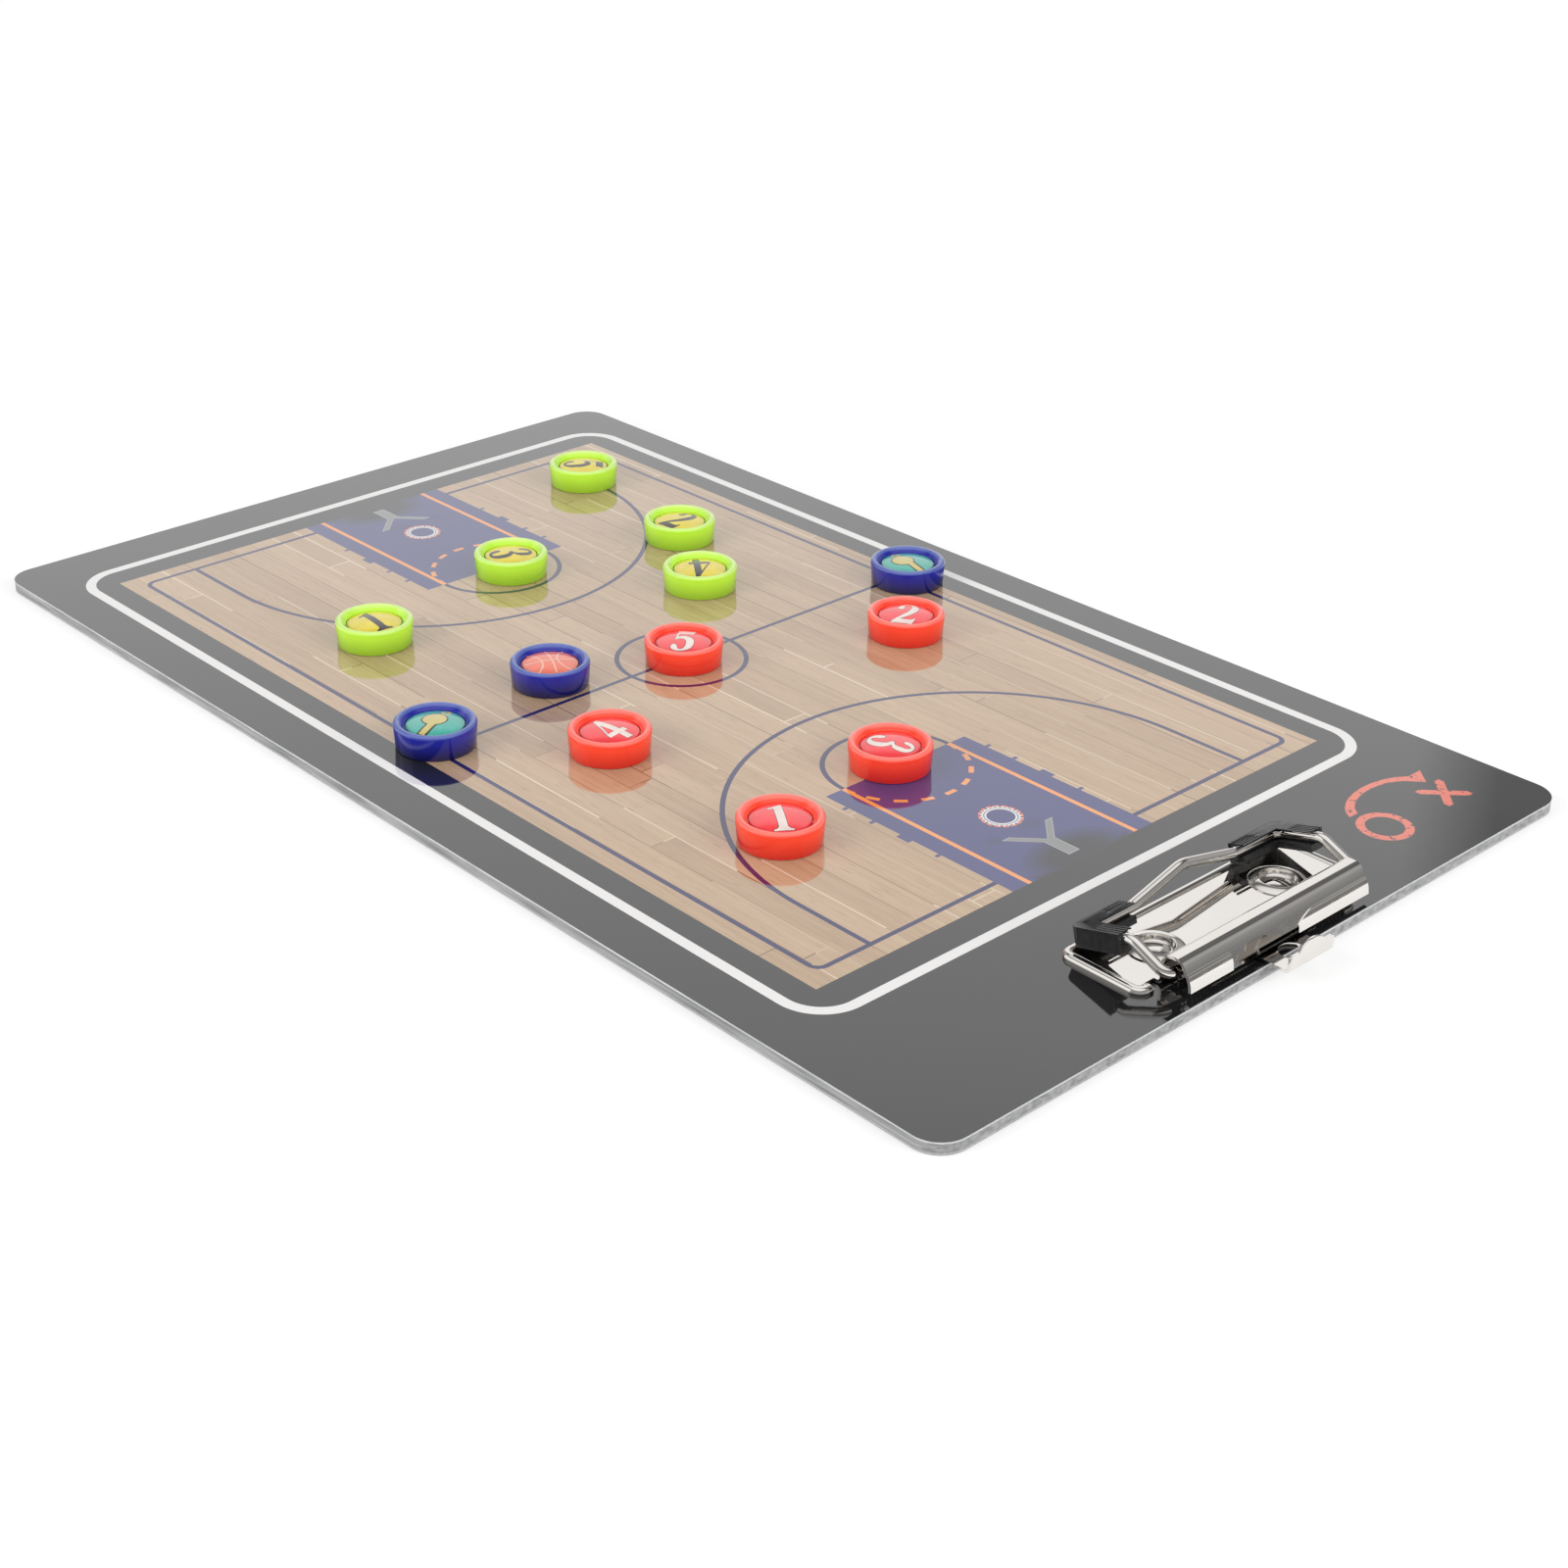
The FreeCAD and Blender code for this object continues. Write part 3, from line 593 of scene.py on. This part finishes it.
bends = wire_line.attributes.new("bend", "FLOAT", "POINT")
bends.data.foreach_set("value", [r * MM for a, b, c, r in bail_line])

wire_tree = bpy.data.node_groups.new("bent_wire", "GeometryNodeTree")
wire_tree.interface.new_socket("Line", in_out="INPUT", socket_type="NodeSocketGeometry")
radius_input = wire_tree.interface.new_socket("Wire radius", in_out="INPUT", socket_type="NodeSocketFloat")
finish_input = wire_tree.interface.new_socket("Finish", in_out="INPUT", socket_type="NodeSocketMaterial")
wire_tree.interface.new_socket("Wire", in_out="OUTPUT", socket_type="NodeSocketGeometry")
wire_in = wire_tree.nodes.new("NodeGroupInput")
wire_out = wire_tree.nodes.new("NodeGroupOutput")
to_curve = wire_tree.nodes.new("GeometryNodeMeshToCurve")
bend_radius = wire_tree.nodes.new("GeometryNodeInputNamedAttribute")
bend_radius.data_type = "FLOAT"
bend_radius.inputs["Name"].default_value = "bend"
fillet = wire_tree.nodes.new("GeometryNodeFilletCurve")
fillet.mode = "POLY"
fillet.inputs["Count"].default_value = 12
section = wire_tree.nodes.new("GeometryNodeCurvePrimitiveCircle")
section.inputs["Resolution"].default_value = 28
sweep = wire_tree.nodes.new("GeometryNodeCurveToMesh")
sweep.inputs["Fill Caps"].default_value = True
smooth = wire_tree.nodes.new("GeometryNodeSetShadeSmooth")
whole = wire_tree.nodes.new("GeometryNodeRealizeInstances")
plate = wire_tree.nodes.new("GeometryNodeSetMaterial")
for out_socket, in_socket in (
    (wire_in.outputs["Line"], to_curve.inputs["Mesh"]),
    (to_curve.outputs["Curve"], fillet.inputs["Curve"]),
    (bend_radius.outputs["Attribute"], fillet.inputs["Radius"]),
    (wire_in.outputs["Wire radius"], section.inputs["Radius"]),
    (fillet.outputs["Curve"], sweep.inputs["Curve"]),
    (section.outputs["Curve"], sweep.inputs["Profile Curve"]),
    (sweep.outputs["Mesh"], smooth.inputs["Geometry"]),
    (smooth.outputs["Geometry"], whole.inputs["Geometry"]),
    (whole.outputs["Geometry"], plate.inputs["Geometry"]),
    (wire_in.outputs["Finish"], plate.inputs["Material"]),
    (plate.outputs["Geometry"], wire_out.inputs["Wire"]),
):
    wire_tree.links.new(out_socket, in_socket)
wire = bpy.data.objects.new("bail_line", wire_line)
bpy.context.collection.objects.link(wire)
bending = wire.modifiers.new("bent_wire", "NODES")
bending.node_group = wire_tree
bending[radius_input.identifier] = bail_wire_radius * MM
bending[finish_input.identifier] = nickel
show("bail_wire", plain_mesh(wire), nickel, "bail", "nickel_plate", "wire_bail")

spring_steel = finish("drawn_spring_wire", (0.5, 0.49, 0.47), 0.3, 1.0)
rough_between(spring_steel, grain(spring_steel, (900, 900, 900), 3.0), 0.22, 0.38)
dress("return_springs", spring_steel)

# Grips: two soft black rubber corners pushed on to the bail, with ribs on top for the thumb. They
# press the paper on the bed's bead.
rubber = finish("black_grip_rubber", (0.016, 0.016, 0.017), 0.48)
rubber_bloom = grain(rubber, (700, 700, 700), 4.0)
rough_between(rubber, rubber_bloom, 0.26, 0.4)
shade_between(rubber, rubber_bloom, (0.012, 0.012, 0.013), (0.024, 0.024, 0.025))
bump(rubber, rubber_bloom, 0.00002)
grip_edge = 0.16 * MM
for grip in ("left_grip", "right_grip"):
    show(grip + "_rubber", eased(grip, grip_edge), rubber, "bail", "grip_rubber", grip)

# Marker discs: moulded cups of bright plastic, a ferrite magnet pressed in from below and a domed
# resin label in the top. Five lime, five red and three blue; each label carries its own sign.
disc_places = {
    "lime_marker_1": (51.5, -73.4), "lime_marker_2": (-52.5, -73.7), "lime_marker_3": (-2.1, -85.7),
    "lime_marker_4": (-34.3, -44.5), "lime_marker_5": (-60.0, -125.6),
    "red_marker_1": (45.3, 72.0), "red_marker_2": (-53.8, 13.6), "red_marker_3": (2.0, 63.1),
    "red_marker_4": (46.0, 14.3), "red_marker_5": (0.1, -11.8),
    "referee_marker_1": (74.4, -15.8), "referee_marker_2": (-78.6, -10.0), "ball_marker": (33.2, -24.2),
}

magnet_radius = 6.05
web_height = 3.2
wall_inside = 8.3
label_floor = 4.5
recess_radius = 7.3
shell_profile = (
    [(0.0, 3.0), (magnet_radius - 0.15, 3.0), (magnet_radius, 2.85), (magnet_radius, 0.0)]
    + [(6.9, 0.0), (6.9, web_height - 0.1), (7.0, web_height)]
    + [(wall_inside - 0.1, web_height), (wall_inside, web_height - 0.1), (wall_inside, 0.0)]
    + arc((9.36, 0.3), 0.3, -90, -3)
    + arc((9.1, 5.6), 0.9, 3, 90, 10)
    + arc((8.72, 6.28), 0.22, 90, 135, 4)
    + [(7.5, 5.37)]
    + arc((7.45, 5.15), 0.15, 150, 180, 3)
    + [(recess_radius, label_floor), (0.0, label_floor)]
)
dome_edge = 7.2
dome_rise = 0.7
dome_radius = (dome_edge ** 2 + dome_rise ** 2) / (2 * dome_rise)
label_top = 5.2


def dome_height(radius):
    """Height of a label's face above the printed board."""
    return label_top + dome_rise - dome_radius + math.sqrt(dome_radius ** 2 - radius ** 2)


label_edge = 7.0
label_flat = label_edge - 0.15
label_rim = label_edge - 0.05
label_steps = [label_flat - label_flat * i / 14 for i in range(15)]
label_profile = (
    [(0.0, label_floor), (label_flat, label_floor), (label_edge, label_floor + 0.1), (label_edge, 5.1)]
    + [(label_rim, dome_height(label_rim) - 0.02)]
    + [(radius, dome_height(radius)) for radius in label_steps]
)


def moulded(name, painted_shade_foot, wall, rim):
    """Bright, slightly translucent plastic, with the light it lets through painted into its colour: painted
    shade low down by the magnet, also in the recess round the label, and a paler painted highlight at the
    thin rim.
    """
    foot_height, rim_height = 3.5 * MM, 9.5 * MM
    plastic = finish(name, wall, 0.2, Coat_Weight=0.8, Coat_Roughness=0.06, Specular_IOR_Level=0.35)
    tree = plastic.node_tree
    place = tree.nodes.new("ShaderNodeTexCoord")
    height = tree.nodes.new("ShaderNodeSeparateXYZ")
    tree.links.new(place.outputs["Object"], height.inputs["Vector"])
    rise = tree.nodes.new("ShaderNodeMapRange")
    rise.inputs["From Min"].default_value = foot_height
    rise.inputs["From Max"].default_value = rim_height
    tree.links.new(height.outputs["Z"], rise.inputs["Value"])
    flow = tree.nodes.new("ShaderNodeMath")
    flow.operation = "MULTIPLY_ADD"
    flow.inputs[1].default_value = 0.1
    tree.links.new(grain(plastic, (150, 150, 260), 4.0), flow.inputs[0])
    tree.links.new(rise.outputs["Result"], flow.inputs[2])
    # Colour by height: a painted-shade foot, the plastic's own colour, then a painted-highlight rim.
    depth = tree.nodes.new("ShaderNodeValToRGB")
    stops = depth.color_ramp.elements
    stops[0].color = (*painted_shade_foot, 1)
    stops[1].color = (*rim, 1)
    for position in (0.78, 0.93):
        stops.new(position).color = (*wall, 1)
    tree.links.new(flow.outputs[0], depth.inputs["Fac"])
    tree.links.new(depth.outputs["Color"], tree.nodes["Principled BSDF"].inputs["Base Color"])
    return plastic


def resin(name, colour):
    """Printed paper under a clear poured dome."""
    label = finish(name, colour, 0.12, Coat_Weight=1.0, Coat_Roughness=0.03, Specular_IOR_Level=0.15)
    paper = grain(label, (420, 420, 420), 5.0)
    shade_between(label, paper, tuple(c * 0.92 for c in colour), tuple(min(1, c * 1.06) for c in colour))
    return label


# Each kind: its colour's name, a painted-shade colour for the foot, the plastic's own colour, and a paler
# painted-highlight colour for the rim.
shell_colours = {
    "lime": ("lime", (0.29, 0.52, 0.022), (0.5, 0.88, 0.045), (0.6, 0.86, 0.2)),
    "red": ("red", (0.66, 0.018, 0.01), (1.0, 0.055, 0.022), (1.0, 0.17, 0.13)),
    "referee": ("blue", (0.005, 0.004, 0.045), (0.011, 0.016, 0.3), (0.1, 0.14, 0.42)),
}
shell_finish = {}
for kind, (shade, painted_shade_foot, wall, rim) in shell_colours.items():
    shell_finish[kind] = (moulded(shade + "_plastic", painted_shade_foot, wall, rim), shade + "_shell")
shell_finish["ball"] = shell_finish["referee"]
label_finish = {
    "lime": (resin("yellow_label", (0.79, 0.64, 0.03)), "yellow_label"),
    "red": (resin("rose_label", (0.94, 0.058, 0.07)), "rose_label"),
    "referee": (resin("teal_label", (0.07, 0.45, 0.37)), "teal_label"),
    "ball": (resin("orange_label", (0.87, 0.19, 0.12)), "orange_label"),
}
ferrite = finish("pressed_ferrite", (0.05, 0.05, 0.052), 0.6)
ferrite_grain = grain(ferrite, (1100, 1100, 1100), 5.0)
shade_between(ferrite, ferrite_grain, (0.035, 0.035, 0.037), (0.075, 0.075, 0.078))
bump(ferrite, ferrite_grain, 0.00003)

for marker, centre in disc_places.items():
    kind = marker.split("_")[0]
    shell = [(r, z + board_top) for r, z in shell_profile]
    label = [(r, z + board_top) for r, z in label_profile]
    plastic, plastic_slot = shell_finish[kind]
    show(marker + "_cup", turned(shell, [centre]), plastic, marker, plastic_slot, marker + "_shell")
    paint, paint_slot = label_finish[kind]
    show(marker + "_dome", turned(label, [centre], 72), paint, marker, paint_slot, marker + "_label")
    dress(marker + "_magnet", ferrite)

# Label signs: serif figures, a whistle for the referee and a ball's seams, printed under the dome.
# Outlines are in millimetres about the label's middle; r is a rounded point and c a sharp one.
figures = {
    "1": [
        "c -2.6 -5, c 2.6 -5, c 2.6 -4.5, r 1.6 -4.2, c 1.15 -3.5, c 1.15 5, c 0.6 5, r -1 4.2, "
        "c -2.7 3.6, c -2.6 3.1, c -1.15 3.3, c -1.15 -3.5, r -1.6 -4.2, c -2.6 -4.5",
    ],
    "2": [
        "c -3.3 -5, c 3.1 -5, c 3.6 -2.4, c 3.1 -2.4, r 2.6 -3, r 1.6 -3.2, c -0.9 -3.2, "
        "r 0.8 -1.7, r 2.5 0.3, r 3.1 2.3, r 2.2 4.3, r 0 5, r -2.2 4.3, r -3.1 2.7, r -2.6 1.7, "
        "r -1.6 1.8, r -1.2 2.8, r -1.3 3.8, r -0.3 4.3, r 0.6 3.9, r 0.9 2.4, r 0.3 0.3, "
        "r -1.3 -2, c -3.3 -4.3",
    ],
    "3": [
        "r -2.9 2.9, r -2.2 4.3, r 0 5, r 2.2 4.4, r 2.9 2.8, r 2.2 1.2, c 0.9 0.5, r 2.6 -0.4, "
        "r 3.3 -2.2, r 2.3 -4.3, r -0.3 -5, r -2.6 -4.4, r -3.3 -3, r -2.7 -2.1, r -1.7 -2.4, "
        "r -1.3 -3.5, r -0.5 -4.3, r 0.6 -3.9, r 1 -2.4, r 0.4 -0.7, c -1 -0.1, c -1 0.5, "
        "r 0.4 1.1, r 0.8 2.6, r 0.5 4, r -0.4 4.3, r -1.1 3.6, r -1.5 2.6, r -2.3 2.2",
    ],
    "4": [
        "c 0.5 5, c 1.9 5, c 1.9 -1.4, c 3.3 -1.4, c 3.3 -2.7, c 1.9 -2.7, c 1.9 -5, c -0.3 -5, "
        "c -0.3 -2.7, c -3.5 -2.7, c -3.5 -1.9",
        "c -0.3 -1.4, c -0.3 2.6, c -2.7 -1.4",
    ],
    "5": [
        "c -2.4 5, c 2.8 5, c 2.2 3.2, c -1.8 3.2, c -2 1.4, r 0.2 1.9, r 2.3 0.9, r 3.2 -1.3, "
        "r 2.3 -4, r -0.4 -5, r -2.6 -4.4, r -3.2 -3.2, r -2.6 -2.3, r -1.7 -2.6, r -1.2 -3.7, "
        "r -0.4 -4.3, r 0.6 -3.8, r 1 -2, r 0.5 -0.2, r -0.7 0.5, r -1.7 0.2, c -2.5 -0.3",
    ],
}


def cut_out(outlines, wide=1.0, tall=1.0):
    """Flat mesh inside closed outlines, in millimetres."""
    sheet = bpy.data.curves.new("outline", "CURVE")
    sheet.dimensions = "2D"
    sheet.fill_mode = "BOTH"
    sheet.resolution_u = 6
    for outline in outlines:
        points = [point.split() for point in outline.split(", ")]
        spline = sheet.splines.new("BEZIER")
        spline.bezier_points.add(len(points) - 1)
        for knot, (corner, across, up) in zip(spline.bezier_points, points):
            knot.co = (float(across) * wide, float(up) * tall, 0)
            knot.handle_left_type = knot.handle_right_type = "VECTOR" if corner == "c" else "AUTO"
        spline.use_cyclic_u = True
    holder = bpy.data.objects.new("outline", sheet)
    bpy.context.collection.objects.link(holder)
    return plain_mesh(holder)


def rounded_outline(points):
    """An outline for cut_out with a rounded point at each place."""
    return ", ".join("r %f %f" % point for point in points)


def ring_outline(across, up, radius, count=16):
    """A round outline for cut_out."""
    return rounded_outline(arc((across, up), radius, 0, 360 - 360 / count, count - 1))


def spread_out(flat, width):
    """Moves a flat sign's outline out by a width, for a printed edge."""
    form = bmesh.new()
    form.from_mesh(flat)
    bmesh.ops.remove_doubles(form, verts=form.verts, dist=1e-4)
    ways = {vert: Vector((0, 0, 0)) for vert in form.verts}
    for edge in form.edges:
        if edge.is_boundary:
            loop = edge.link_loops[0]
            along = (loop.link_loop_next.vert.co - loop.vert.co).normalized()
            for vert in edge.verts:
                ways[vert] += along.cross(loop.face.normal)
    for vert, way in ways.items():
        vert.co += way.normalized() * width
    form.to_mesh(flat)
    form.free()
    return flat


def laid_on_dome(flat, marker, turn, lift):
    """Drapes a flat sign over a label, turned in degrees, a hair above its face."""
    form = bmesh.new()
    form.from_mesh(flat)
    bmesh.ops.remove_doubles(form, verts=form.verts, dist=1e-4)
    bmesh.ops.triangulate(form, faces=form.faces)
    for length in (2.4, 1.2, 0.8):
        long_edges = [edge for edge in form.edges if edge.calc_length() > length]
        bmesh.ops.subdivide_edges(form, edges=long_edges, cuts=1)
        bmesh.ops.triangulate(form, faces=form.faces)
    cos_turn, sin_turn = math.cos(math.radians(turn)), math.sin(math.radians(turn))
    centre = disc_places[marker]
    for vert in form.verts:
        across = vert.co.x * cos_turn - vert.co.y * sin_turn
        along = vert.co.x * sin_turn + vert.co.y * cos_turn
        height = board_top + dome_height(min(math.hypot(across, along), dome_edge)) + lift
        vert.co = Vector((centre[0] + across, centre[1] + along, height)) * MM
    for face in form.faces:
        face.normal_update()
        if face.normal.z < 0:
            face.normal_flip()
    mesh = bpy.data.meshes.new("sign")
    form.to_mesh(mesh)
    form.free()
    mesh.shade_smooth()
    bpy.data.meshes.remove(flat)
    return mesh


dark_ink = resin("dark_ink", (0.035, 0.03, 0.03))
pale_ink = resin("pale_ink", (0.86, 0.74, 0.68))
whistle_ink = resin("whistle_ink", (0.62, 0.52, 0.17))
seam_ink = resin("seam_ink", (0.9, 0.5, 0.36))
edge_lift = 0.006
sign_lift = 0.012
figure_wide = 0.86
figure_tall = 1.17
figure_edge_width = 0.15
figure_turns = {
    "lime_marker_1": 175, "lime_marker_2": 95, "lime_marker_3": 65, "lime_marker_4": 324,
    "lime_marker_5": 50, "red_marker_1": 146, "red_marker_2": 122, "red_marker_3": 19,
    "red_marker_4": 188, "red_marker_5": 130,
}
for marker, turn in figure_turns.items():
    kind, number = marker.split("_")[0], marker[-1]
    label_slot = label_finish[kind][1]
    figure = cut_out(figures[number], figure_wide, figure_tall)
    if kind == "red":
        edge = laid_on_dome(spread_out(figure.copy(), figure_edge_width), marker, turn, edge_lift)
        show(marker + "_figure_edge", edge, dark_ink, marker, label_slot)
    ink = dark_ink if kind == "lime" else pale_ink
    show(marker + "_figure", laid_on_dome(figure, marker, turn, sign_lift), ink, marker, label_slot)

whistle_scale = 1.1
whistle_shapes = [
    ("shadow", dark_ink, [ring_outline(0.7, 1.1, 2.95)], edge_lift),
    ("body", whistle_ink, [ring_outline(0.7, 1.1, 2.6)], sign_lift),
    ("neck_line", dark_ink, ["c -1.2 0.9, c -6 -1.3, c -5.2 -3.6, c -0.2 -1.4"], edge_lift),
    ("neck", whistle_ink, ["c -1.3 0.4, c -5.6 -1.6, c -5.1 -3, c -0.5 -0.9"], sign_lift),
    ("ring", whistle_ink, [ring_outline(4.6, 2.2, 1.15), ring_outline(4.6, 2.2, 0.5)], sign_lift),
]
for marker, turn in (("referee_marker_1", 180), ("referee_marker_2", 235)):
    for part, ink, outlines, lift in whistle_shapes:
        shape = laid_on_dome(cut_out(outlines, whistle_scale, whistle_scale), marker, turn, lift)
        show(marker + "_whistle_" + part, shape, ink, marker, "teal_label")


def seam(centre, radius, start, end, width=0.42, count=18):
    """An arc-shaped strip for cut_out, angles in degrees."""
    outer = arc(centre, radius + width / 2, start, end, count)
    inner = arc(centre, radius - width / 2, end, start, count)
    return rounded_outline(outer + inner)


ball_turn = 155
seams = [
    seam((0, -60), 60.5, 84, 96),
    seam((-60, 0.5), 60.6, -6, 6),
    seam((9.4, 0), 7.4, 122, 238),
    seam((-9.4, 0), 7.4, -58, 58),
]
for number, outline in enumerate(seams, 1):
    strip = laid_on_dome(cut_out([outline]), "ball_marker", ball_turn, sign_lift)
    show("ball_marker_seam_%d" % number, strip, seam_ink, "ball_marker", "orange_label")

# Stage: a plain pale floor under the board, a white surround and two soft lamps. In mirrors the surround
# is a room: dark under a bright ceiling, with one pale wall behind the board and one at its left.
floor_half = 9
floor_drop = 0.0002
floor_corners = [(-floor_half, -floor_half), (floor_half, -floor_half), (floor_half, floor_half),
                 (-floor_half, floor_half)]
floor_mesh = bpy.data.meshes.new("floor")
floor_mesh.from_pydata([(a, b, -floor_drop) for a, b in floor_corners], [], [(0, 1, 2, 3)])
floor = bpy.data.objects.new("floor", floor_mesh)
bpy.context.collection.objects.link(floor)
paper = finish("pale_floor", (0.5, 0.5, 0.5), 0.9)
paper_tree = paper.node_tree


def joined(tree, operation, first, second):
    """One Math node on two sockets."""
    node = tree.nodes.new("ShaderNodeMath")
    node.operation = operation
    tree.links.new(first, node.inputs[0])
    tree.links.new(second, node.inputs[1])
    return node.outputs[0]


def spanned(tree, value, start, end, low=0.0, high=1.0, way="LINEAR"):
    """Turns a socket's stretch from start to end into low to high."""
    node = tree.nodes.new("ShaderNodeMapRange")
    node.interpolation_type = way
    node.inputs["From Min"].default_value = start
    node.inputs["From Max"].default_value = end
    node.inputs["To Min"].default_value = low
    node.inputs["To Max"].default_value = high
    tree.links.new(value, node.inputs["Value"])
    return node.outputs["Result"]


rays = paper_tree.nodes.new("ShaderNodeLightPath").outputs
seen = joined(paper_tree, "MAXIMUM", rays["Is Camera Ray"], rays["Is Glossy Ray"])
seen = joined(paper_tree, "MAXIMUM", seen, rays["Is Transmission Ray"])
floor_spot = paper_tree.nodes.new("ShaderNodeTexCoord")
floor_distance = paper_tree.nodes.new("ShaderNodeVectorMath")
floor_distance.operation = "LENGTH"
paper_tree.links.new(floor_spot.outputs["Object"], floor_distance.inputs[0])
paleness = spanned(paper_tree, floor_distance.outputs["Value"], 0.3, 2.2, 0.52, 0.72)
glow = paper_tree.nodes.new("ShaderNodeEmission")
paper_tree.links.new(joined(paper_tree, "MULTIPLY", seen, paleness), glow.inputs["Strength"])
both = paper_tree.nodes.new("ShaderNodeAddShader")
paper_tree.links.new(paper_tree.nodes["Principled BSDF"].outputs[0], both.inputs[0])
paper_tree.links.new(glow.outputs[0], both.inputs[1])
paper_tree.links.new(both.outputs[0], paper_tree.nodes["Material Output"].inputs["Surface"])
floor_mesh.materials.append(paper)

world = bpy.data.worlds.new("surround")
bpy.context.scene.world = world
world.use_nodes = True
sky = world.node_tree
sky_rays = sky.nodes.new("ShaderNodeLightPath").outputs
sky_seen = joined(sky, "MAXIMUM", sky_rays["Is Camera Ray"], sky_rays["Is Transmission Ray"])
soft_light = 0.62
level = spanned(sky, sky_seen, 0.0, 1.0, soft_light)
outlook = sky.nodes.new("ShaderNodeTexCoord")
upward = sky.nodes.new("ShaderNodeSeparateXYZ")
sky.links.new(outlook.outputs["Generated"], upward.inputs["Vector"])
ceiling = sky.nodes.new("ShaderNodeValToRGB")
ceiling_levels = (
    (0.0, 0.2), (0.3, 0.34), (0.45, 0.42), (0.56, 0.3), (0.63, 0.12), (0.74, 0.16), (0.83, 0.85), (1.0, 1.0))
for height, light in ceiling_levels:
    stops = ceiling.color_ramp.elements
    mark = stops[0] if height == 0 else stops[-1] if height == 1 else stops.new(height)
    mark.color = (light, light, light, 1)
sky.links.new(upward.outputs["Z"], ceiling.inputs["Fac"])
room = ceiling.outputs["Color"]
wall_ends = {
    "behind": (((0.4833, -0.8755, 0.0), 0.0264), ((-0.9336, 0.3584, 0.0), 0.05)),
    "left": (((0.966, 0.259, 0.0), 0.1), ((-0.259, -0.966, 0.0), 0.1)),
}
for ends in wall_ends.values():
    wall = spanned(sky, upward.outputs["Z"], 0.57, 0.72, 1.0, 0.0, "SMOOTHSTEP")
    for inward, softness in ends:
        past_end = sky.nodes.new("ShaderNodeVectorMath")
        past_end.operation = "DOT_PRODUCT"
        past_end.inputs[1].default_value = inward
        sky.links.new(outlook.outputs["Generated"], past_end.inputs[0])
        wall_end = spanned(sky, past_end.outputs["Value"], -softness, softness)
        wall = joined(sky, "MULTIPLY", wall, wall_end)
    room = joined(sky, "MAXIMUM", wall, room)
mirrored = sky.nodes.new("ShaderNodeMix")
sky.links.new(sky_rays["Is Glossy Ray"], mirrored.inputs["Factor"])
sky.links.new(level, mirrored.inputs["A"])
sky.links.new(room, mirrored.inputs["B"])
backing = sky.nodes["Background"]
backing.inputs["Color"].default_value = (1, 1, 1, 1)
sky.links.new(mirrored.outputs["Result"], backing.inputs["Strength"])


def lamp(name, place, size, watts):
    """A soft square lamp aimed at the board."""
    light = bpy.data.lights.new(name, "AREA")
    light.shape = "SQUARE"
    light.size = size
    light.energy = watts
    holder = bpy.data.objects.new(name, light)
    holder.location = place
    holder.rotation_euler = (-Vector(place)).to_track_quat("-Z", "Y").to_euler()
    holder.visible_glossy = False
    bpy.context.collection.objects.link(holder)


lamp("left_lamp", (1.58, -0.39, 0.66), 1.2, 20)
lamp("right_lamp", (-0.57, 1.52, 0.66), 1.2, 20)

eye = bpy.data.cameras.new("photo_eye")
eye.sensor_width = 36.0
eye.lens = 57.549
eye.shift_x = 0.05364
eye.clip_start = 0.01
viewer = bpy.data.objects.new("photo_eye", eye)
viewer.location = (0.37805, 0.42114, 0.27184)
viewer.rotation_euler = (math.radians(90 - 27.8865), 0, math.radians(138.4739))
bpy.context.collection.objects.link(viewer)
bpy.context.scene.camera = viewer
bpy.context.scene.view_settings.view_transform = "Standard"
